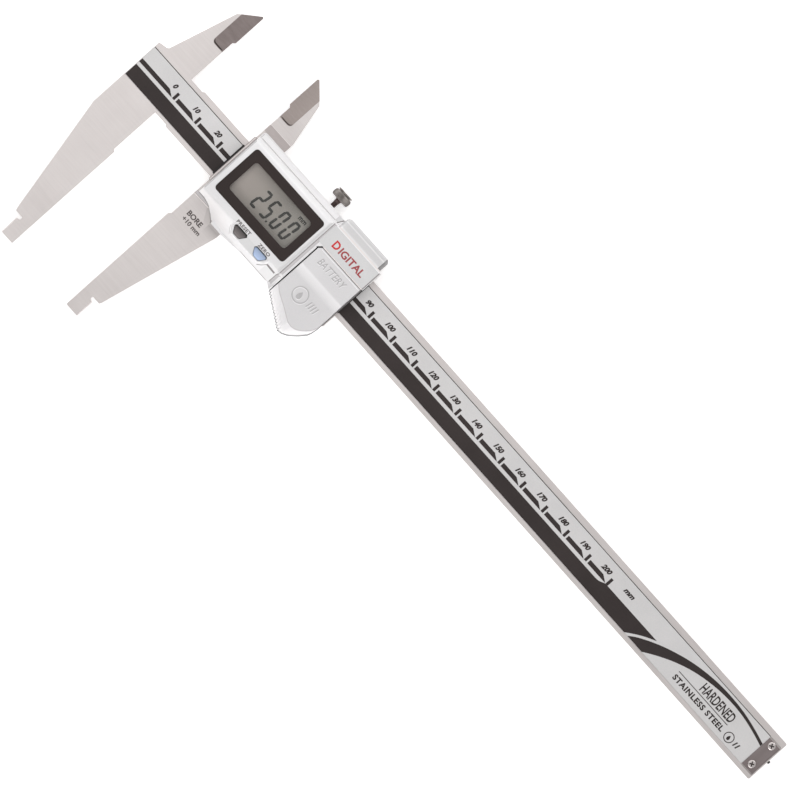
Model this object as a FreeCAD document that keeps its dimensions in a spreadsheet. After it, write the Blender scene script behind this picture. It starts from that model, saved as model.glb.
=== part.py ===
import FreeCAD, Part
import Sketcher
import os

# Digital caliper with a 200 mm range, in millimetres.
#
# The caliper lies on its back: +X runs along the beam away from the fixed jaws, +Y points at the
# knife jaws and +Z out of the display. The origin is in the middle of the caliper's length and
# width, at the level of the slider's back.
#
# Every piece is drawn from the zero line of the scale: x is 0 at the fixed jaw's measuring face,
# y is 0 at the row of scale ticks, and z is 0 at the slider's back. place() moves it from there.

DIMENSIONS = {
    # The zero line's place in the caliper's own frame.
    "zero_x": -129.15,
    "zero_y": 15.75,
    # Beam.
    "beam_left": -15.9,
    "beam_end": 273.6,
    "beam_low": -8.6,
    "beam_high": 7.4,
    "beam_back": 2.2,
    "beam_front": 5.7,
    "root_relief": 0.5,
    "root_length": 4.3,
    # Jaws. The movable ones repeat the fixed ones at this distance.
    "jaw_opening": 25.0,
    "jaw_tip": -67.7,
    "jaw_shoulder": -60.1,
    "jaw_face_start": -25.6,
    "jaw_relief": 0.7,
    "nib_width": 5.0,
    "nib_shoulder": -61.4,
    "blade_tip": 36.2,
    "blade_face_start": 24.4,
    "blade_grind_start": 19.6,
    "blade_grind_width": 5.4,
    "blade_step": 0.35,
    "blade_edge_thickness": 0.6,
    "blade_grind_round": 1.3,
    # Scale.
    "scale_low": -7.1,
    "scale_high": 5.4,
    "scale_left": -15.75,
    "scale_right": 268.5,
    "scale_floor": 4.7,
    "cover_bottom": 5.35,
    "cover_top": 5.65,
    "bond_gap": 0.05,
    # End plate.
    "end_plate_low": -6.9,
    "end_plate_high": 4.9,
    "end_plate_front": 5.95,
    "end_plate_right": 273.15,
    "end_screw_x": 270.8,
    "end_screw_low": -4.7,
    "end_screw_high": 3.5,
    # Slider frame.
    "frame_left": 25.7,
    "frame_right": 82.7,
    "frame_low": -13.5,
    "frame_high": 12.8,
    "frame_front": 6.2,
    "lip_bottom": 5.8,
    "running_gap": 0.1,
    "gib_thickness": 1.0,
    "gib_slot": 0.5,
    "gib_screw_radius": 1.25,
    "gib_screw_left": 38.0,
    "gib_screw_right": 73.0,
    "rail_notch_left": 81.3,
    "rail_notch_low": 10.6,
    "wiper_left": 24.95,
    "wiper_plate_left": 25.3,
    # Clamp.
    "clamp_x": 57.0,
    "clamp_z": 3.95,
    "clamp_pad_low": 9.1,
    "clamp_pad_high": 10.1,
    "clamp_shank_radius": 0.95,
    "clamp_bore_radius": 1.0,
    "knob_radius": 3.25,
    "knob_low": 16.0,
    "knob_high": 18.45,
    "cap_radius": 2.75,
    "cap_high": 19.1,
    # Display housing.
    "housing_left": 26.4,
    "housing_step": 61.2,
    "housing_split": 63.1,
    "housing_right": 82.6,
    "housing_bottom": 6.4,
    "housing_front": 14.2,
    "housing_rear_front": 13.5,
    "housing_high": 13.3,
    "housing_low": -17.3,
    "housing_shelf": 9.1,
    "face_high": 10.75,
    "face_low": -12.3,
    "rear_low": 2.9,
    "cavity_high": 9.5,
    "cavity_low": -11.0,
    "cavity_front": 12.2,
    "skirt_back": 2.6,
    "button_pad_low": -15.7,
    # Display, from the window to the circuit board.
    "bezel_left": 28.5,
    "bezel_right": 59.85,
    "bezel_low": -9.9,
    "bezel_high": 8.1,
    "bezel_front": 14.4,
    "bezel_round": 1.2,
    "view_left": 31.5,
    "view_right": 57.1,
    "view_low": -6.7,
    "view_high": 5.1,
    "window_front": 12.9,
    "window_back": 12.3,
    "lcd_back": 11.1,
    "board_front": 9.9,
    "board_thickness": 0.8,
    # Buttons.
    "button_width": 5.3,
    "button_depth": 2.7,
    "button_y": -13.55,
    "preset_x": 44.15,
    "zero_key_x": 53.2,
    "button_front": 14.75,
    "button_gap": 0.12,
    "key_ceiling": 12.7,
    # Battery compartment and thumb rest.
    "lid_left": 63.5,
    "lid_right": 82.5,
    "lid_high": 2.75,
    "lid_bottom": 7.5,
    "lid_front": 13.0,
    "lid_raised_front": 13.5,
    "lid_ridge": -5.2,
    "case_back": 2.4,
    "case_floor": 6.42,
    "case_front": 7.2,
    "battery_x": 73.0,
    "battery_y": -12.0,
    "battery_radius": 5.8,
    "battery_height": 5.4,
    # Data connector.
    "cover_left": 63.1,
    "cover_right": 81.5,
    "cover_high": 15.1,
    "cover_low": 10.85,
    "cover_front": 10.4,
}


class Size(float):
    """A length together with the spreadsheet formula that gives it."""

    def __new__(cls, value, formula):
        size = super().__new__(cls, value)
        size.formula = formula
        return size

    def __add__(self, other):
        return Size(float(self) + float(other), f"({self.formula} + {formula_of(other)})")

    def __sub__(self, other):
        return Size(float(self) - float(other), f"({self.formula} - {formula_of(other)})")

    def __rsub__(self, other):
        return Size(float(other) - float(self), f"({formula_of(other)} - {self.formula})")

    def __mul__(self, other):
        return Size(float(self) * float(other), f"({self.formula} * {formula_of(other)})")

    def __truediv__(self, other):
        return Size(float(self) / float(other), f"({self.formula} / {formula_of(other)})")

    def __neg__(self):
        return Size(-float(self), f"(-{self.formula})")

    __radd__ = __add__
    __rmul__ = __mul__


def formula_of(number):
    """The formula of a Size, or a plain number as text."""
    return number.formula if isinstance(number, Size) else f"({float(number):.6g})"


doc = FreeCAD.newDocument("digital_caliper")
sheet = doc.addObject("Spreadsheet::Sheet", "Dimensions")


class Sheet:
    """The driving dimensions by name, each one a Size."""


d = Sheet()
for row, (alias, value) in enumerate(DIMENSIONS.items(), start=1):
    sheet.set(f"A{row}", alias)
    sheet.set(f"B{row}", str(value))
    sheet.setAlias(f"B{row}", alias)
    setattr(d, alias, Size(value, f"Dimensions.{alias}"))
doc.recompute()

UP = FreeCAD.Vector(0, 0, 1)
pieces = []


# Helpers: placing, drawing and cutting.


def bind(target, path, number):
    """Ties one property to the spreadsheet."""
    target.setExpression(path, formula_of(number))


def place(piece, x=0.0, y=0.0, z=0.0, direction=UP):
    """Puts a piece's own origin at a point measured from the zero line, its +Z along a direction."""
    piece.Placement = FreeCAD.Placement(FreeCAD.Vector(), FreeCAD.Rotation(UP, direction))
    bind(piece, "Placement.Base.x", d.zero_x + x)
    bind(piece, "Placement.Base.y", d.zero_y + y)
    bind(piece, "Placement.Base.z", z)
    return piece


def keep(piece, label):
    """Names a finished piece and lists it for export."""
    piece.Label = label
    pieces.append(piece)
    return piece


def new_body(name):
    return doc.addObject("PartDesign::Body", name + "_body")


def rectangle(x0, y0, x1, y1):
    return [(x0, y0), (x1, y0), (x1, y1), (x0, y1)]


def fix_coordinate(sketch, kind, line, number):
    """Ties the x or the y of a line's first point."""
    index = sketch.addConstraint(Sketcher.Constraint(kind, line, 1, float(number)))
    if isinstance(number, Size):
        sketch.setExpression(f"Constraints[{index}]", number.formula)


def draw(body, *loops, level=0.0, plane="XY_Plane"):
    """Draws closed outlines on one of the body's planes, shifted to a level along its axis."""
    sketch = body.newObject("Sketcher::SketchObject", body.Name + "_sketch")
    support = next(part for part in body.Origin.OriginFeatures if part.Role == plane)
    sketch.AttachmentSupport = [(support, "")]
    sketch.MapMode = "FlatFace"
    # The XZ plane's sketch faces -Y.
    bind(sketch, "AttachmentOffset.Base.z", 0.0 - level if plane == "XZ_Plane" else level)
    for loop in loops:
        first = sketch.GeometryCount
        for start, stop in zip(loop, loop[1:] + loop[:1]):
            sketch.addGeometry(Part.LineSegment(FreeCAD.Vector(*start), FreeCAD.Vector(*stop)))
        for corner, (across, along) in enumerate(loop):
            following = first + (corner + 1) % len(loop)
            sketch.addConstraint(Sketcher.Constraint("Coincident", first + corner, 2, following, 1))
            fix_coordinate(sketch, "DistanceX", first + corner, across)
            fix_coordinate(sketch, "DistanceY", first + corner, along)
    return sketch


def draw_circle(body, x, y, radius, level=0.0):
    """Draws a circle on the body's XY plane."""
    sketch = body.newObject("Sketcher::SketchObject", body.Name + "_circle")
    support = next(part for part in body.Origin.OriginFeatures if part.Role == "XY_Plane")
    sketch.AttachmentSupport = [(support, "")]
    sketch.MapMode = "FlatFace"
    bind(sketch, "AttachmentOffset.Base.z", level)
    sketch.addGeometry(Part.Circle(FreeCAD.Vector(x, y, 0), UP, float(radius)))
    for kind, number in (("DistanceX", x), ("DistanceY", y)):
        index = sketch.addConstraint(Sketcher.Constraint(kind, 0, 3, float(number)))
        if isinstance(number, Size):
            sketch.setExpression(f"Constraints[{index}]", number.formula)
    index = sketch.addConstraint(Sketcher.Constraint("Radius", 0, float(radius)))
    if isinstance(radius, Size):
        sketch.setExpression(f"Constraints[{index}]", radius.formula)
    return sketch


def pad(body, sketch, length, taper=0.0):
    """Extrudes a sketch along its plane's normal."""
    feature = body.newObject("PartDesign::Pad", body.Name + "_pad")
    feature.Profile = sketch
    feature.TaperAngle = taper
    bind(feature, "Length", length)
    doc.recompute()
    return feature


def pocket(body, sketch, length, forward=False):
    """Cuts a sketch against its plane's normal, or along it when forward."""
    before = body.Shape.Volume
    feature = body.newObject("PartDesign::Pocket", body.Name + "_pocket")
    feature.Profile = sketch
    feature.Reversed = forward
    bind(feature, "Length", length)
    doc.recompute()
    if body.Shape.Volume >= before:
        raise RuntimeError(f"{feature.Name} cuts nothing")
    return feature


def edges_where(feature, test):
    """The names of a feature's edges whose two end points pass a test together."""
    return [
        f"Edge{index}"
        for index, edge in enumerate(feature.Shape.Edges, start=1)
        if len(edge.Vertexes) == 2 and test(*(vertex.Point for vertex in edge.Vertexes))
    ]


def near(number, target):
    return abs(float(number) - float(target)) < 0.01


def upright_at(*corners):
    """A test for the edges that stand along Z at the given x, y corners."""
    return lambda start, stop: near(start.x, stop.x) and near(start.y, stop.y) and any(
        near(start.x, x) and near(start.y, y) for x, y in corners
    )


def lying_at(level):
    """A test for the edges that lie level at a height."""
    return lambda start, stop: near(start.z, level) and near(stop.z, level)


def fillet(body, radius, test):
    """Rounds the edges that pass the test."""
    base = body.Tip
    edges = edges_where(base, test)
    feature = body.newObject("PartDesign::Fillet", body.Name + "_fillet")
    feature.Base = (base, edges)
    bind(feature, "Radius", radius)
    doc.recompute()
    if "Invalid" in feature.State:
        raise RuntimeError(f"{feature.Name} fails on {len(edges)} edges")
    return feature


def box(name, low, high):
    """A Part::Box between two corners."""
    piece = doc.addObject("Part::Box", name)
    for side, start, stop in zip(("Length", "Width", "Height"), low, high):
        bind(piece, side, stop - start)
    return place(piece, *low)


def cylinder(name, radius, height, x, y, z, direction=UP):
    """A Part::Cylinder that starts at a point and runs along a direction."""
    piece = doc.addObject("Part::Cylinder", name)
    bind(piece, "Radius", radius)
    bind(piece, "Height", height)
    return place(piece, x, y, z, direction)


def fuse(name, first, second):
    result = doc.addObject("Part::Fuse", name)
    result.Base = first
    result.Tool = second
    return result


def cut(name, base, tool):
    result = doc.addObject("Part::Cut", name)
    result.Base = base
    result.Tool = tool
    return result


def group(name, members):
    """Like pieces that share one node, each a solid of its own."""
    result = doc.addObject("Part::Compound", name)
    result.Links = members
    return result


def slotted_screw(name, head_radius, head_height, shank_radius, length, x, y, z, direction=UP):
    """A screw whose head starts at a point, with its shank along a direction."""
    head = doc.addObject("Part::Cylinder", name + "_head")
    bind(head, "Radius", head_radius)
    bind(head, "Height", head_height)
    shank = doc.addObject("Part::Cylinder", name + "_shank")
    bind(shank, "Radius", shank_radius)
    bind(shank, "Height", length)
    slot = doc.addObject("Part::Box", name + "_slot")
    slot_width = head_radius * 0.3
    bind(slot, "Length", head_radius * 2.2)
    bind(slot, "Width", slot_width)
    bind(slot, "Height", head_height)
    bind(slot, "Placement.Base.x", head_radius * -1.1)
    bind(slot, "Placement.Base.y", slot_width * -0.5)
    bind(slot, "Placement.Base.z", head_height * -0.55)
    return place(cut(name, fuse(name + "_blank", head, shank), slot), x, y, z, direction)


# Jaws: the fixed and the movable ones share these outlines, mirrored.


def lower_jaw(face, side, root_low):
    """The outside jaw from its relief down to the nib and back up its outer edge.

    face is the x of the measuring face, and side is -1 for a jaw on its left or 1 on its right.
    """
    relief = face + side * d.jaw_relief
    nib = face + side * d.nib_width
    return [
        (relief, root_low),
        (relief, d.jaw_face_start + 0.6),
        (face, d.jaw_face_start),
        (face, d.jaw_tip),
        (nib, d.jaw_tip),
        (nib, d.nib_shoulder),
        (nib - side * 1.2, d.nib_shoulder + 0.4),
        (nib - side * 1.2, d.jaw_shoulder),
        (nib + side * 1.7, d.jaw_shoulder),
        (nib + side * 2.1, d.jaw_shoulder + 0.9),
    ]


def knife_jaw(face, side):
    """The inside jaw from its tip's outer corner to its measuring face and relief."""
    return [
        (face + side * 6.5, d.blade_tip - 5.4),
        (face + side * 5.6, d.blade_tip - 4.5),
        (face + side * 0.5, d.blade_tip),
        (face, d.blade_tip - 0.3),
        (face, d.blade_face_start),
        (face + side * 0.75, d.blade_face_start - 0.6),
    ]


def grind_blade(body, face, side):
    """Thins a knife jaw to its measuring edge, front and back."""
    middle = (d.beam_back + d.beam_front) / 2
    edge = d.blade_edge_thickness / 2
    inner = face + side * d.blade_grind_width
    outer = face - side * 1.0
    loops = []
    for surface, sign in ((d.beam_front, 1), (d.beam_back, -1)):
        loops.append(
            [
                (inner, surface + sign * 0.5),
                (inner, surface - sign * d.blade_step),
                (face, middle + sign * edge),
                (outer, middle + sign * edge),
                (outer, surface + sign * 0.5),
            ]
        )
    top = d.blade_tip + 1.0
    sketch = draw(body, *loops, level=top, plane="XZ_Plane")
    pocket(body, sketch, top - d.blade_grind_start, forward=True)
    fillet(body, d.blade_grind_round, upright_at((inner, d.blade_grind_start)))


def nib_cutter(name, face, side):
    """What is taken off a nib's outer side, which is part of a rod centred on the measuring face."""
    low = d.jaw_tip - 1.0
    high = d.nib_shoulder + 0.4
    inner = face + side * (d.nib_width - 0.5)
    outer = face + side * (d.nib_width + 1.0)
    block = box(name + "_block", (min(inner, outer), low, d.beam_back - 1.0),
                (max(inner, outer), high, d.beam_front + 1.0))
    rod = cylinder(name + "_rod", d.nib_width, high - low + 2.0, face, low - 1.0,
                   (d.beam_front + d.beam_back) / 2, FreeCAD.Vector(0, 1, 0))
    return cut(name, block, rod)


# Fixed pieces.


def main_beam():
    """The beam with the fixed jaws, one piece of hardened steel."""
    body = new_body("main_beam")
    face = Size(0.0, "0")
    relief_low = d.beam_low + d.root_relief
    relief_high = d.beam_high - d.root_relief
    shoulder = (face - 12.55, d.beam_high + 0.5)
    jaw_corner = (d.beam_left, d.jaw_face_start + 5.7)
    outline = [
        (d.beam_left, d.beam_high - 0.2),
        shoulder,
        *knife_jaw(face, -1),
        (face - 0.75, relief_high),
        (d.root_length, relief_high),
        (d.root_length + 0.6, d.beam_high),
        (d.beam_end, d.beam_high),
        (d.beam_end, d.beam_low),
        (d.root_length + 0.6, d.beam_low),
        (d.root_length, relief_low),
        *lower_jaw(face, -1, relief_low),
        jaw_corner,
    ]
    pad(body, draw(body, outline, level=d.beam_back), d.beam_front - d.beam_back)
    fillet(body, 1.2, upright_at(shoulder))
    fillet(body, 2.0, upright_at(jaw_corner))
    fillet(body, 0.5, upright_at((d.beam_end, d.beam_high), (d.beam_end, d.beam_low)))
    grind_blade(body, face, -1)
    recess = rectangle(d.beam_left - 1.0, d.scale_low, d.end_plate_right + d.bond_gap, d.scale_high)
    pocket(body, draw(body, recess, level=d.beam_front), d.beam_front - d.scale_floor)
    for screw_y in (d.end_screw_low, d.end_screw_high):
        pocket(body, draw_circle(body, d.end_screw_x, screw_y, 0.72, d.beam_front), 3.0)
    return keep(cut("main_beam", place(body), nib_cutter("fixed_nib", face, -1)), "main_beam")


def scale():
    """The scale plate in the beam's recess and the printed cover over it."""
    corners = rectangle(
        d.scale_left, d.scale_low + d.bond_gap, d.scale_right - d.bond_gap, d.scale_high - d.bond_gap
    )
    plate = new_body("scale_plate")
    pad(plate, draw(plate, corners, level=d.scale_floor), d.cover_bottom - d.scale_floor)
    keep(place(plate), "scale_plate")
    cover = new_body("scale_cover")
    pad(cover, draw(cover, corners, level=d.cover_bottom), d.cover_top - d.cover_bottom)
    keep(place(cover), "scale_cover")


def end_plate():
    """The stop plate in the end of the beam's recess, with its two screws and the bumper."""
    plate = new_body("end_plate")
    corners = rectangle(d.scale_right, d.end_plate_low, d.end_plate_right, d.end_plate_high)
    pad(plate, draw(plate, corners, level=d.scale_floor), d.end_plate_front - d.scale_floor)
    for screw_y in (d.end_screw_low, d.end_screw_high):
        hole = draw_circle(plate, d.end_screw_x, screw_y, 0.75, d.end_plate_front)
        pocket(plate, hole, d.end_plate_front - d.scale_floor)
    keep(place(plate), "end_plate")
    screws = [
        slotted_screw(f"end_screw_{name}", 1.2, 0.45, 0.7, 3.0, d.end_screw_x, screw_y,
                      d.end_plate_front + 0.45, -UP)
        for name, screw_y in (("low", d.end_screw_low), ("high", d.end_screw_high))
    ]
    keep(group("end_plate_screw_pair", screws), "end_plate_screws")
    keep(cylinder("bumper", 0.5, 0.6, d.beam_end, -0.5, 4.1, FreeCAD.Vector(1, 0, 0)), "end_bumper")


# Slider frame and what guides it.


def notched(left, low, right, high, inset):
    """A rectangle whose top right corner is cut away for the connector cover's end."""
    return [
        (left, low),
        (right, low),
        (right, d.rail_notch_low - inset),
        (d.rail_notch_left - inset, d.rail_notch_low - inset),
        (d.rail_notch_left - inset, high),
        (left, high),
    ]


def slider_frame():
    """The steel slider: the movable jaws and the channel that holds the beam."""
    body = new_body("slider_frame")
    face = d.jaw_opening
    jaw_corner = (face + 15.6, d.jaw_face_start + 5.7)
    plate = [
        *knife_jaw(face, 1),
        *lower_jaw(face, 1, Size(0.0, "0")),
        jaw_corner,
        (face + 15.6, d.beam_low),
        (face + 10.0, d.beam_high),
        (face + 10.0, d.frame_high + 4.1),
    ]
    pad(body, draw(body, plate, level=d.beam_back), d.beam_front - d.beam_back)
    fillet(body, 1.5, upright_at(jaw_corner))
    shoulders = [
        (d.frame_high + 3.1, d.beam_back),
        (d.frame_high + 3.1, d.beam_front),
        (d.frame_high + 0.5, d.frame_front),
        (d.frame_low - 0.7, d.frame_front),
        (d.frame_low - 1.9, d.beam_front),
        (d.frame_low - 1.9, d.beam_back),
        (d.frame_low, 0.0),
        (d.frame_high, 0.0),
    ]
    jaw_root = draw(body, shoulders, level=d.frame_left, plane="YZ_Plane")
    pad(body, jaw_root, jaw_corner[0] - d.frame_left)
    rails = notched(face + 12.0, d.frame_low, d.frame_right, d.frame_high, 0.0)
    pad(body, draw(body, rails), d.frame_front)
    relief = face + d.jaw_relief
    trims = [
        rectangle(face + 10.0, d.frame_high, jaw_corner[0] + 1.0, d.frame_high + 4.0),
        [
            (face, d.frame_high - 0.4),
            (relief, d.frame_high + 0.3),
            (relief, d.frame_high + 4.0),
            (face, d.frame_high + 4.0),
        ],
        [
            (face, d.frame_low + 0.6),
            (relief, d.frame_low - 0.1),
            (relief, d.frame_low - 4.0),
            (face, d.frame_low - 4.0),
        ],
    ]
    pocket(body, draw(body, *trims, level=d.frame_front + 1.0), d.frame_front + 2.0)
    grind_blade(body, face, 1)
    gib_side = d.beam_high + d.running_gap + d.gib_thickness + d.gib_slot
    channel = [
        (d.beam_low - d.running_gap, d.beam_back - d.running_gap),
        (gib_side, d.beam_back - d.running_gap),
        (gib_side, d.lip_bottom),
        (d.scale_high + 0.5, d.lip_bottom),
        (d.scale_high + 0.5, d.frame_front + 1.0),
        (d.scale_low - 0.4, d.frame_front + 1.0),
        (d.scale_low - 0.4, d.lip_bottom),
        (d.beam_low - d.running_gap, d.lip_bottom),
    ]
    sketch = draw(body, channel, level=face - 1.0, plane="YZ_Plane")
    pocket(body, sketch, d.frame_right - face + 2.0, forward=True)
    for x, y in HOUSING_SCREWS:
        pocket(body, draw_circle(body, x, y, 0.85), d.frame_front + 1.0, forward=True)
        pocket(body, draw_circle(body, x, y, 1.6), 1.2, forward=True)
    cutters = [nib_cutter("movable_nib", face, 1)]
    cutters += [
        cylinder(f"slider_bore_{index}", radius, 6.0, x, d.beam_high + 1.0, d.clamp_z,
                 FreeCAD.Vector(0, 1, 0))
        for index, (x, radius) in enumerate((
            (d.clamp_x, d.clamp_bore_radius),
            (d.gib_screw_left, d.gib_screw_radius + 0.05),
            (d.gib_screw_right, d.gib_screw_radius + 0.05),
        ))
    ]
    return keep(cut("slider_frame", place(body), group("slider_cutters", cutters)), "slider_frame")


def gib():
    """The strip between the beam's upper edge and the slider, and the screws that set it."""
    low = d.beam_high + d.running_gap
    strip = box(
        "gib_strip",
        (d.frame_left + 0.8, low, d.beam_back + d.running_gap),
        (d.frame_right - 1.4, low + d.gib_thickness, d.beam_front - d.running_gap),
    )
    keep(strip, "gib_strip")
    screws = []
    for index, x in enumerate((d.gib_screw_left, d.gib_screw_right)):
        blank = cylinder(f"gib_screw_blank_{index}", d.gib_screw_radius, 3.6, x, d.frame_high - 0.4,
                         d.clamp_z, FreeCAD.Vector(0, -1, 0))
        slot = box(f"gib_screw_slot_{index}", (x - 1.5, d.frame_high - 1.1, d.clamp_z - 0.2),
                   (x + 1.5, d.frame_high + 0.4, d.clamp_z + 0.2))
        screws.append(cut(f"gib_screw_{index}", blank, slot))
    keep(group("gib_screw_pair", screws), "gib_set_screws")


def wipers():
    """The rubber wipers at the slider's ends and the steel plate over the front one."""
    low = d.scale_low - 0.2
    high = d.scale_high + 0.25
    wiper_bottom = d.lip_bottom - 0.02
    plate = new_body("wiper_plate")
    outline = rectangle(d.wiper_plate_left, d.frame_low + 4.0, d.housing_left - d.bond_gap,
                        d.frame_high - 2.8)
    pad(plate, draw(plate, outline, level=d.frame_front), 0.8)
    fillet(plate, 0.5, upright_at(outline[0], outline[3]))
    keep(place(plate), "wiper_plate")
    keep(box("front_wiper", (d.wiper_left, low, wiper_bottom),
             (d.housing_left - 0.1, high, d.frame_front)), "front_wiper")
    keep(box("rear_wiper", (d.frame_right - 1.1, low, wiper_bottom),
             (d.frame_right + 0.1, high, d.frame_front)), "rear_wiper")


# Housing. The four screws come in from the back, through the rails.
HOUSING_SCREWS = (
    (d.frame_left + 4.8, d.frame_high - 1.7),
    (d.frame_left + 35.8, d.frame_high - 1.7),
    (d.frame_left + 11.8, d.frame_low + 1.6),
    (d.frame_left + 34.4, d.frame_low + 1.6),
)


def button_outline(centre_x, grow):
    """A key with a flat top, widest just below it and tapering to a blunt foot, grown by a margin."""
    half_width = d.button_width / 2 + grow
    half_depth = d.button_depth / 2 + grow
    y = d.button_y
    return [
        (centre_x - half_width, y + half_depth - 0.7),
        (centre_x - half_width + 0.5, y + half_depth),
        (centre_x + half_width - 0.5, y + half_depth),
        (centre_x + half_width, y + half_depth - 0.7),
        (centre_x + half_width - 1.2, y - half_depth + 0.4),
        (centre_x + half_width - 1.75, y - half_depth),
        (centre_x - half_width + 1.75, y - half_depth),
        (centre_x - half_width + 1.2, y - half_depth + 0.4),
    ]


def display_housing():
    """The moulded housing over the slider: display part on the left, name plate part on the right."""
    body = new_body("display_housing")
    left = d.housing_left
    section = [
        (d.housing_high, d.housing_bottom),
        (d.housing_high, d.housing_shelf - 0.4),
        (d.housing_high - 0.5, d.housing_shelf),
        (d.face_high + 0.25, d.housing_shelf),
        (d.face_high, d.housing_front - 0.9),
        (d.face_high - 1.25, d.housing_front),
        (d.face_low, d.housing_front),
        (d.housing_low, d.housing_bottom + 0.3),
        (d.housing_low, d.housing_bottom),
    ]
    sketch = draw(body, section, level=left, plane="YZ_Plane")
    pad(body, sketch, d.housing_split - left)
    skirt = rectangle(d.jaw_opening + 16.0, d.housing_low, d.housing_split, d.frame_low - 0.2)
    pad(body, draw(body, skirt, level=d.skirt_back), d.housing_bottom + 0.3 - d.skirt_back)
    rear = [
        (d.housing_split - 1.0, d.rear_low),
        (d.housing_right, d.rear_low),
        (d.housing_right, d.face_high - 0.4),
        (d.housing_right - 0.4, d.face_high),
        (d.housing_split - 1.0, d.face_high),
    ]
    web = [
        (d.housing_split - 0.5, d.rear_low + 0.5),
        (d.housing_split - 0.5, d.rear_low - 1.9),
        (d.housing_split, d.rear_low - 1.35),
        (d.housing_split + 1.25, d.rear_low),
        (d.housing_split + 1.25, d.rear_low + 0.5),
    ]
    for outline in (rear, web):
        sketch = draw(body, outline, level=d.housing_bottom)
        pad(body, sketch, d.housing_rear_front - d.housing_bottom)
    step = [
        (d.housing_step - 0.6, d.housing_front),
        (d.housing_step + 0.2, d.housing_rear_front),
        (d.housing_split + 0.5, d.housing_rear_front),
        (d.housing_split + 0.5, d.housing_front + 0.5),
        (d.housing_step - 0.6, d.housing_front + 0.5),
    ]
    sketch = draw(body, step, level=d.housing_high + 1.0, plane="XZ_Plane")
    pocket(body, sketch, d.housing_high - d.housing_low + 2.0, forward=True)
    pad_low = d.button_pad_low
    button_pad = [
        (left + 14.2, d.face_low + 0.5),
        (left + 14.6, d.face_low - 1.6),
        (left + 16.2, pad_low),
        (left + 28.2, pad_low),
        (left + 29.8, d.face_low - 1.9),
        (left + 30.4, d.face_low + 0.5),
    ]
    pad(body, draw(body, button_pad, level=8.0), d.housing_front - 8.0)
    scoop = [
        (left - 1.0, d.face_low - 1.9),
        (left + 2.6, d.face_low - 1.9),
        (left + 5.1, d.face_low - 2.5),
        (left + 7.6, d.face_low - 4.0),
        (left + 9.4, d.housing_low - 0.4),
        (left + 9.4, d.housing_low - 1.0),
        (left - 1.0, d.housing_low - 1.0),
    ]
    pocket(body, draw(body, scoop, level=d.housing_front + 1.0), d.housing_front)
    fillet(body, 1.0, upright_at((left, d.housing_high)))
    fillet(body, 0.5, lying_at(d.housing_front))
    cavity = [
        (left + 1.4, d.cavity_high),
        (d.housing_right - 1.2, d.cavity_high),
        (d.housing_right - 1.2, d.rear_low + 1.2),
        (d.housing_split - 1.1, d.rear_low + 1.2),
        (d.housing_split - 1.1, d.cavity_low),
        (left + 1.4, d.cavity_low),
    ]
    pocket(body, draw(body, cavity, level=d.housing_bottom), d.cavity_front - d.housing_bottom, forward=True)
    key_cavity = rectangle(left + 16.3, pad_low + 0.8, left + 28.3, d.cavity_low + 0.5)
    sketch = draw(body, key_cavity, level=d.board_front - d.board_thickness - 0.2)
    pocket(body, sketch, d.key_ceiling - d.board_front + d.board_thickness + 0.2, forward=True)
    opening = rectangle(d.bezel_left, d.bezel_low, d.bezel_right, d.bezel_high)
    pocket(body, draw(body, opening, level=d.housing_front + 1.0), d.housing_front)
    fillet(body, d.bezel_round, upright_at(*opening))
    keys = [button_outline(x, d.button_gap) for x in (d.preset_x, d.zero_key_x)]
    pocket(body, draw(body, *keys, level=d.housing_front + 1.0), d.housing_front - d.board_front - 0.3)
    port = rectangle(67.9, d.cavity_high - 0.5, 77.1, d.face_high + 1.0)
    pocket(body, draw(body, port, level=d.housing_bottom), 3.5, forward=True)
    for x, y in HOUSING_SCREWS:
        pocket(body, draw_circle(body, x, y, 0.85, d.housing_bottom), 2.2, forward=True)
    return keep(place(body), "display_housing")


def housing_gasket():
    """The flat seal between the slider's rails and the housing."""
    body = new_body("housing_gasket")
    outer = notched(d.housing_left + 0.2, d.frame_low + 0.2, d.frame_right - 0.5, d.frame_high - 0.2, 0.2)
    inner = notched(d.housing_left + 0.8, d.frame_low + 0.6, d.frame_right - 1.2, d.frame_high - 0.75, 0.8)
    pad(body, draw(body, outer, inner, level=d.frame_front), d.housing_bottom - d.frame_front)
    return keep(place(body), "housing_gasket")


def housing_screws():
    screws = [
        slotted_screw(f"housing_screw_{index}", 1.5, 0.9, 0.8, 8.0, x, y, 0.2)
        for index, (x, y) in enumerate(HOUSING_SCREWS)
    ]
    return keep(group("housing_screw_set", screws), "housing_screws")


# Display.


def framed_plate(name, outer, inner, bottom, top, rounding, rounded):
    """A flat frame with one opening, rounded at the listed corners."""
    body = new_body(name)
    pad(body, draw(body, outer, inner, level=bottom), top - bottom)
    fillet(body, rounding, upright_at(*rounded))
    return keep(place(body), name)


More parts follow.
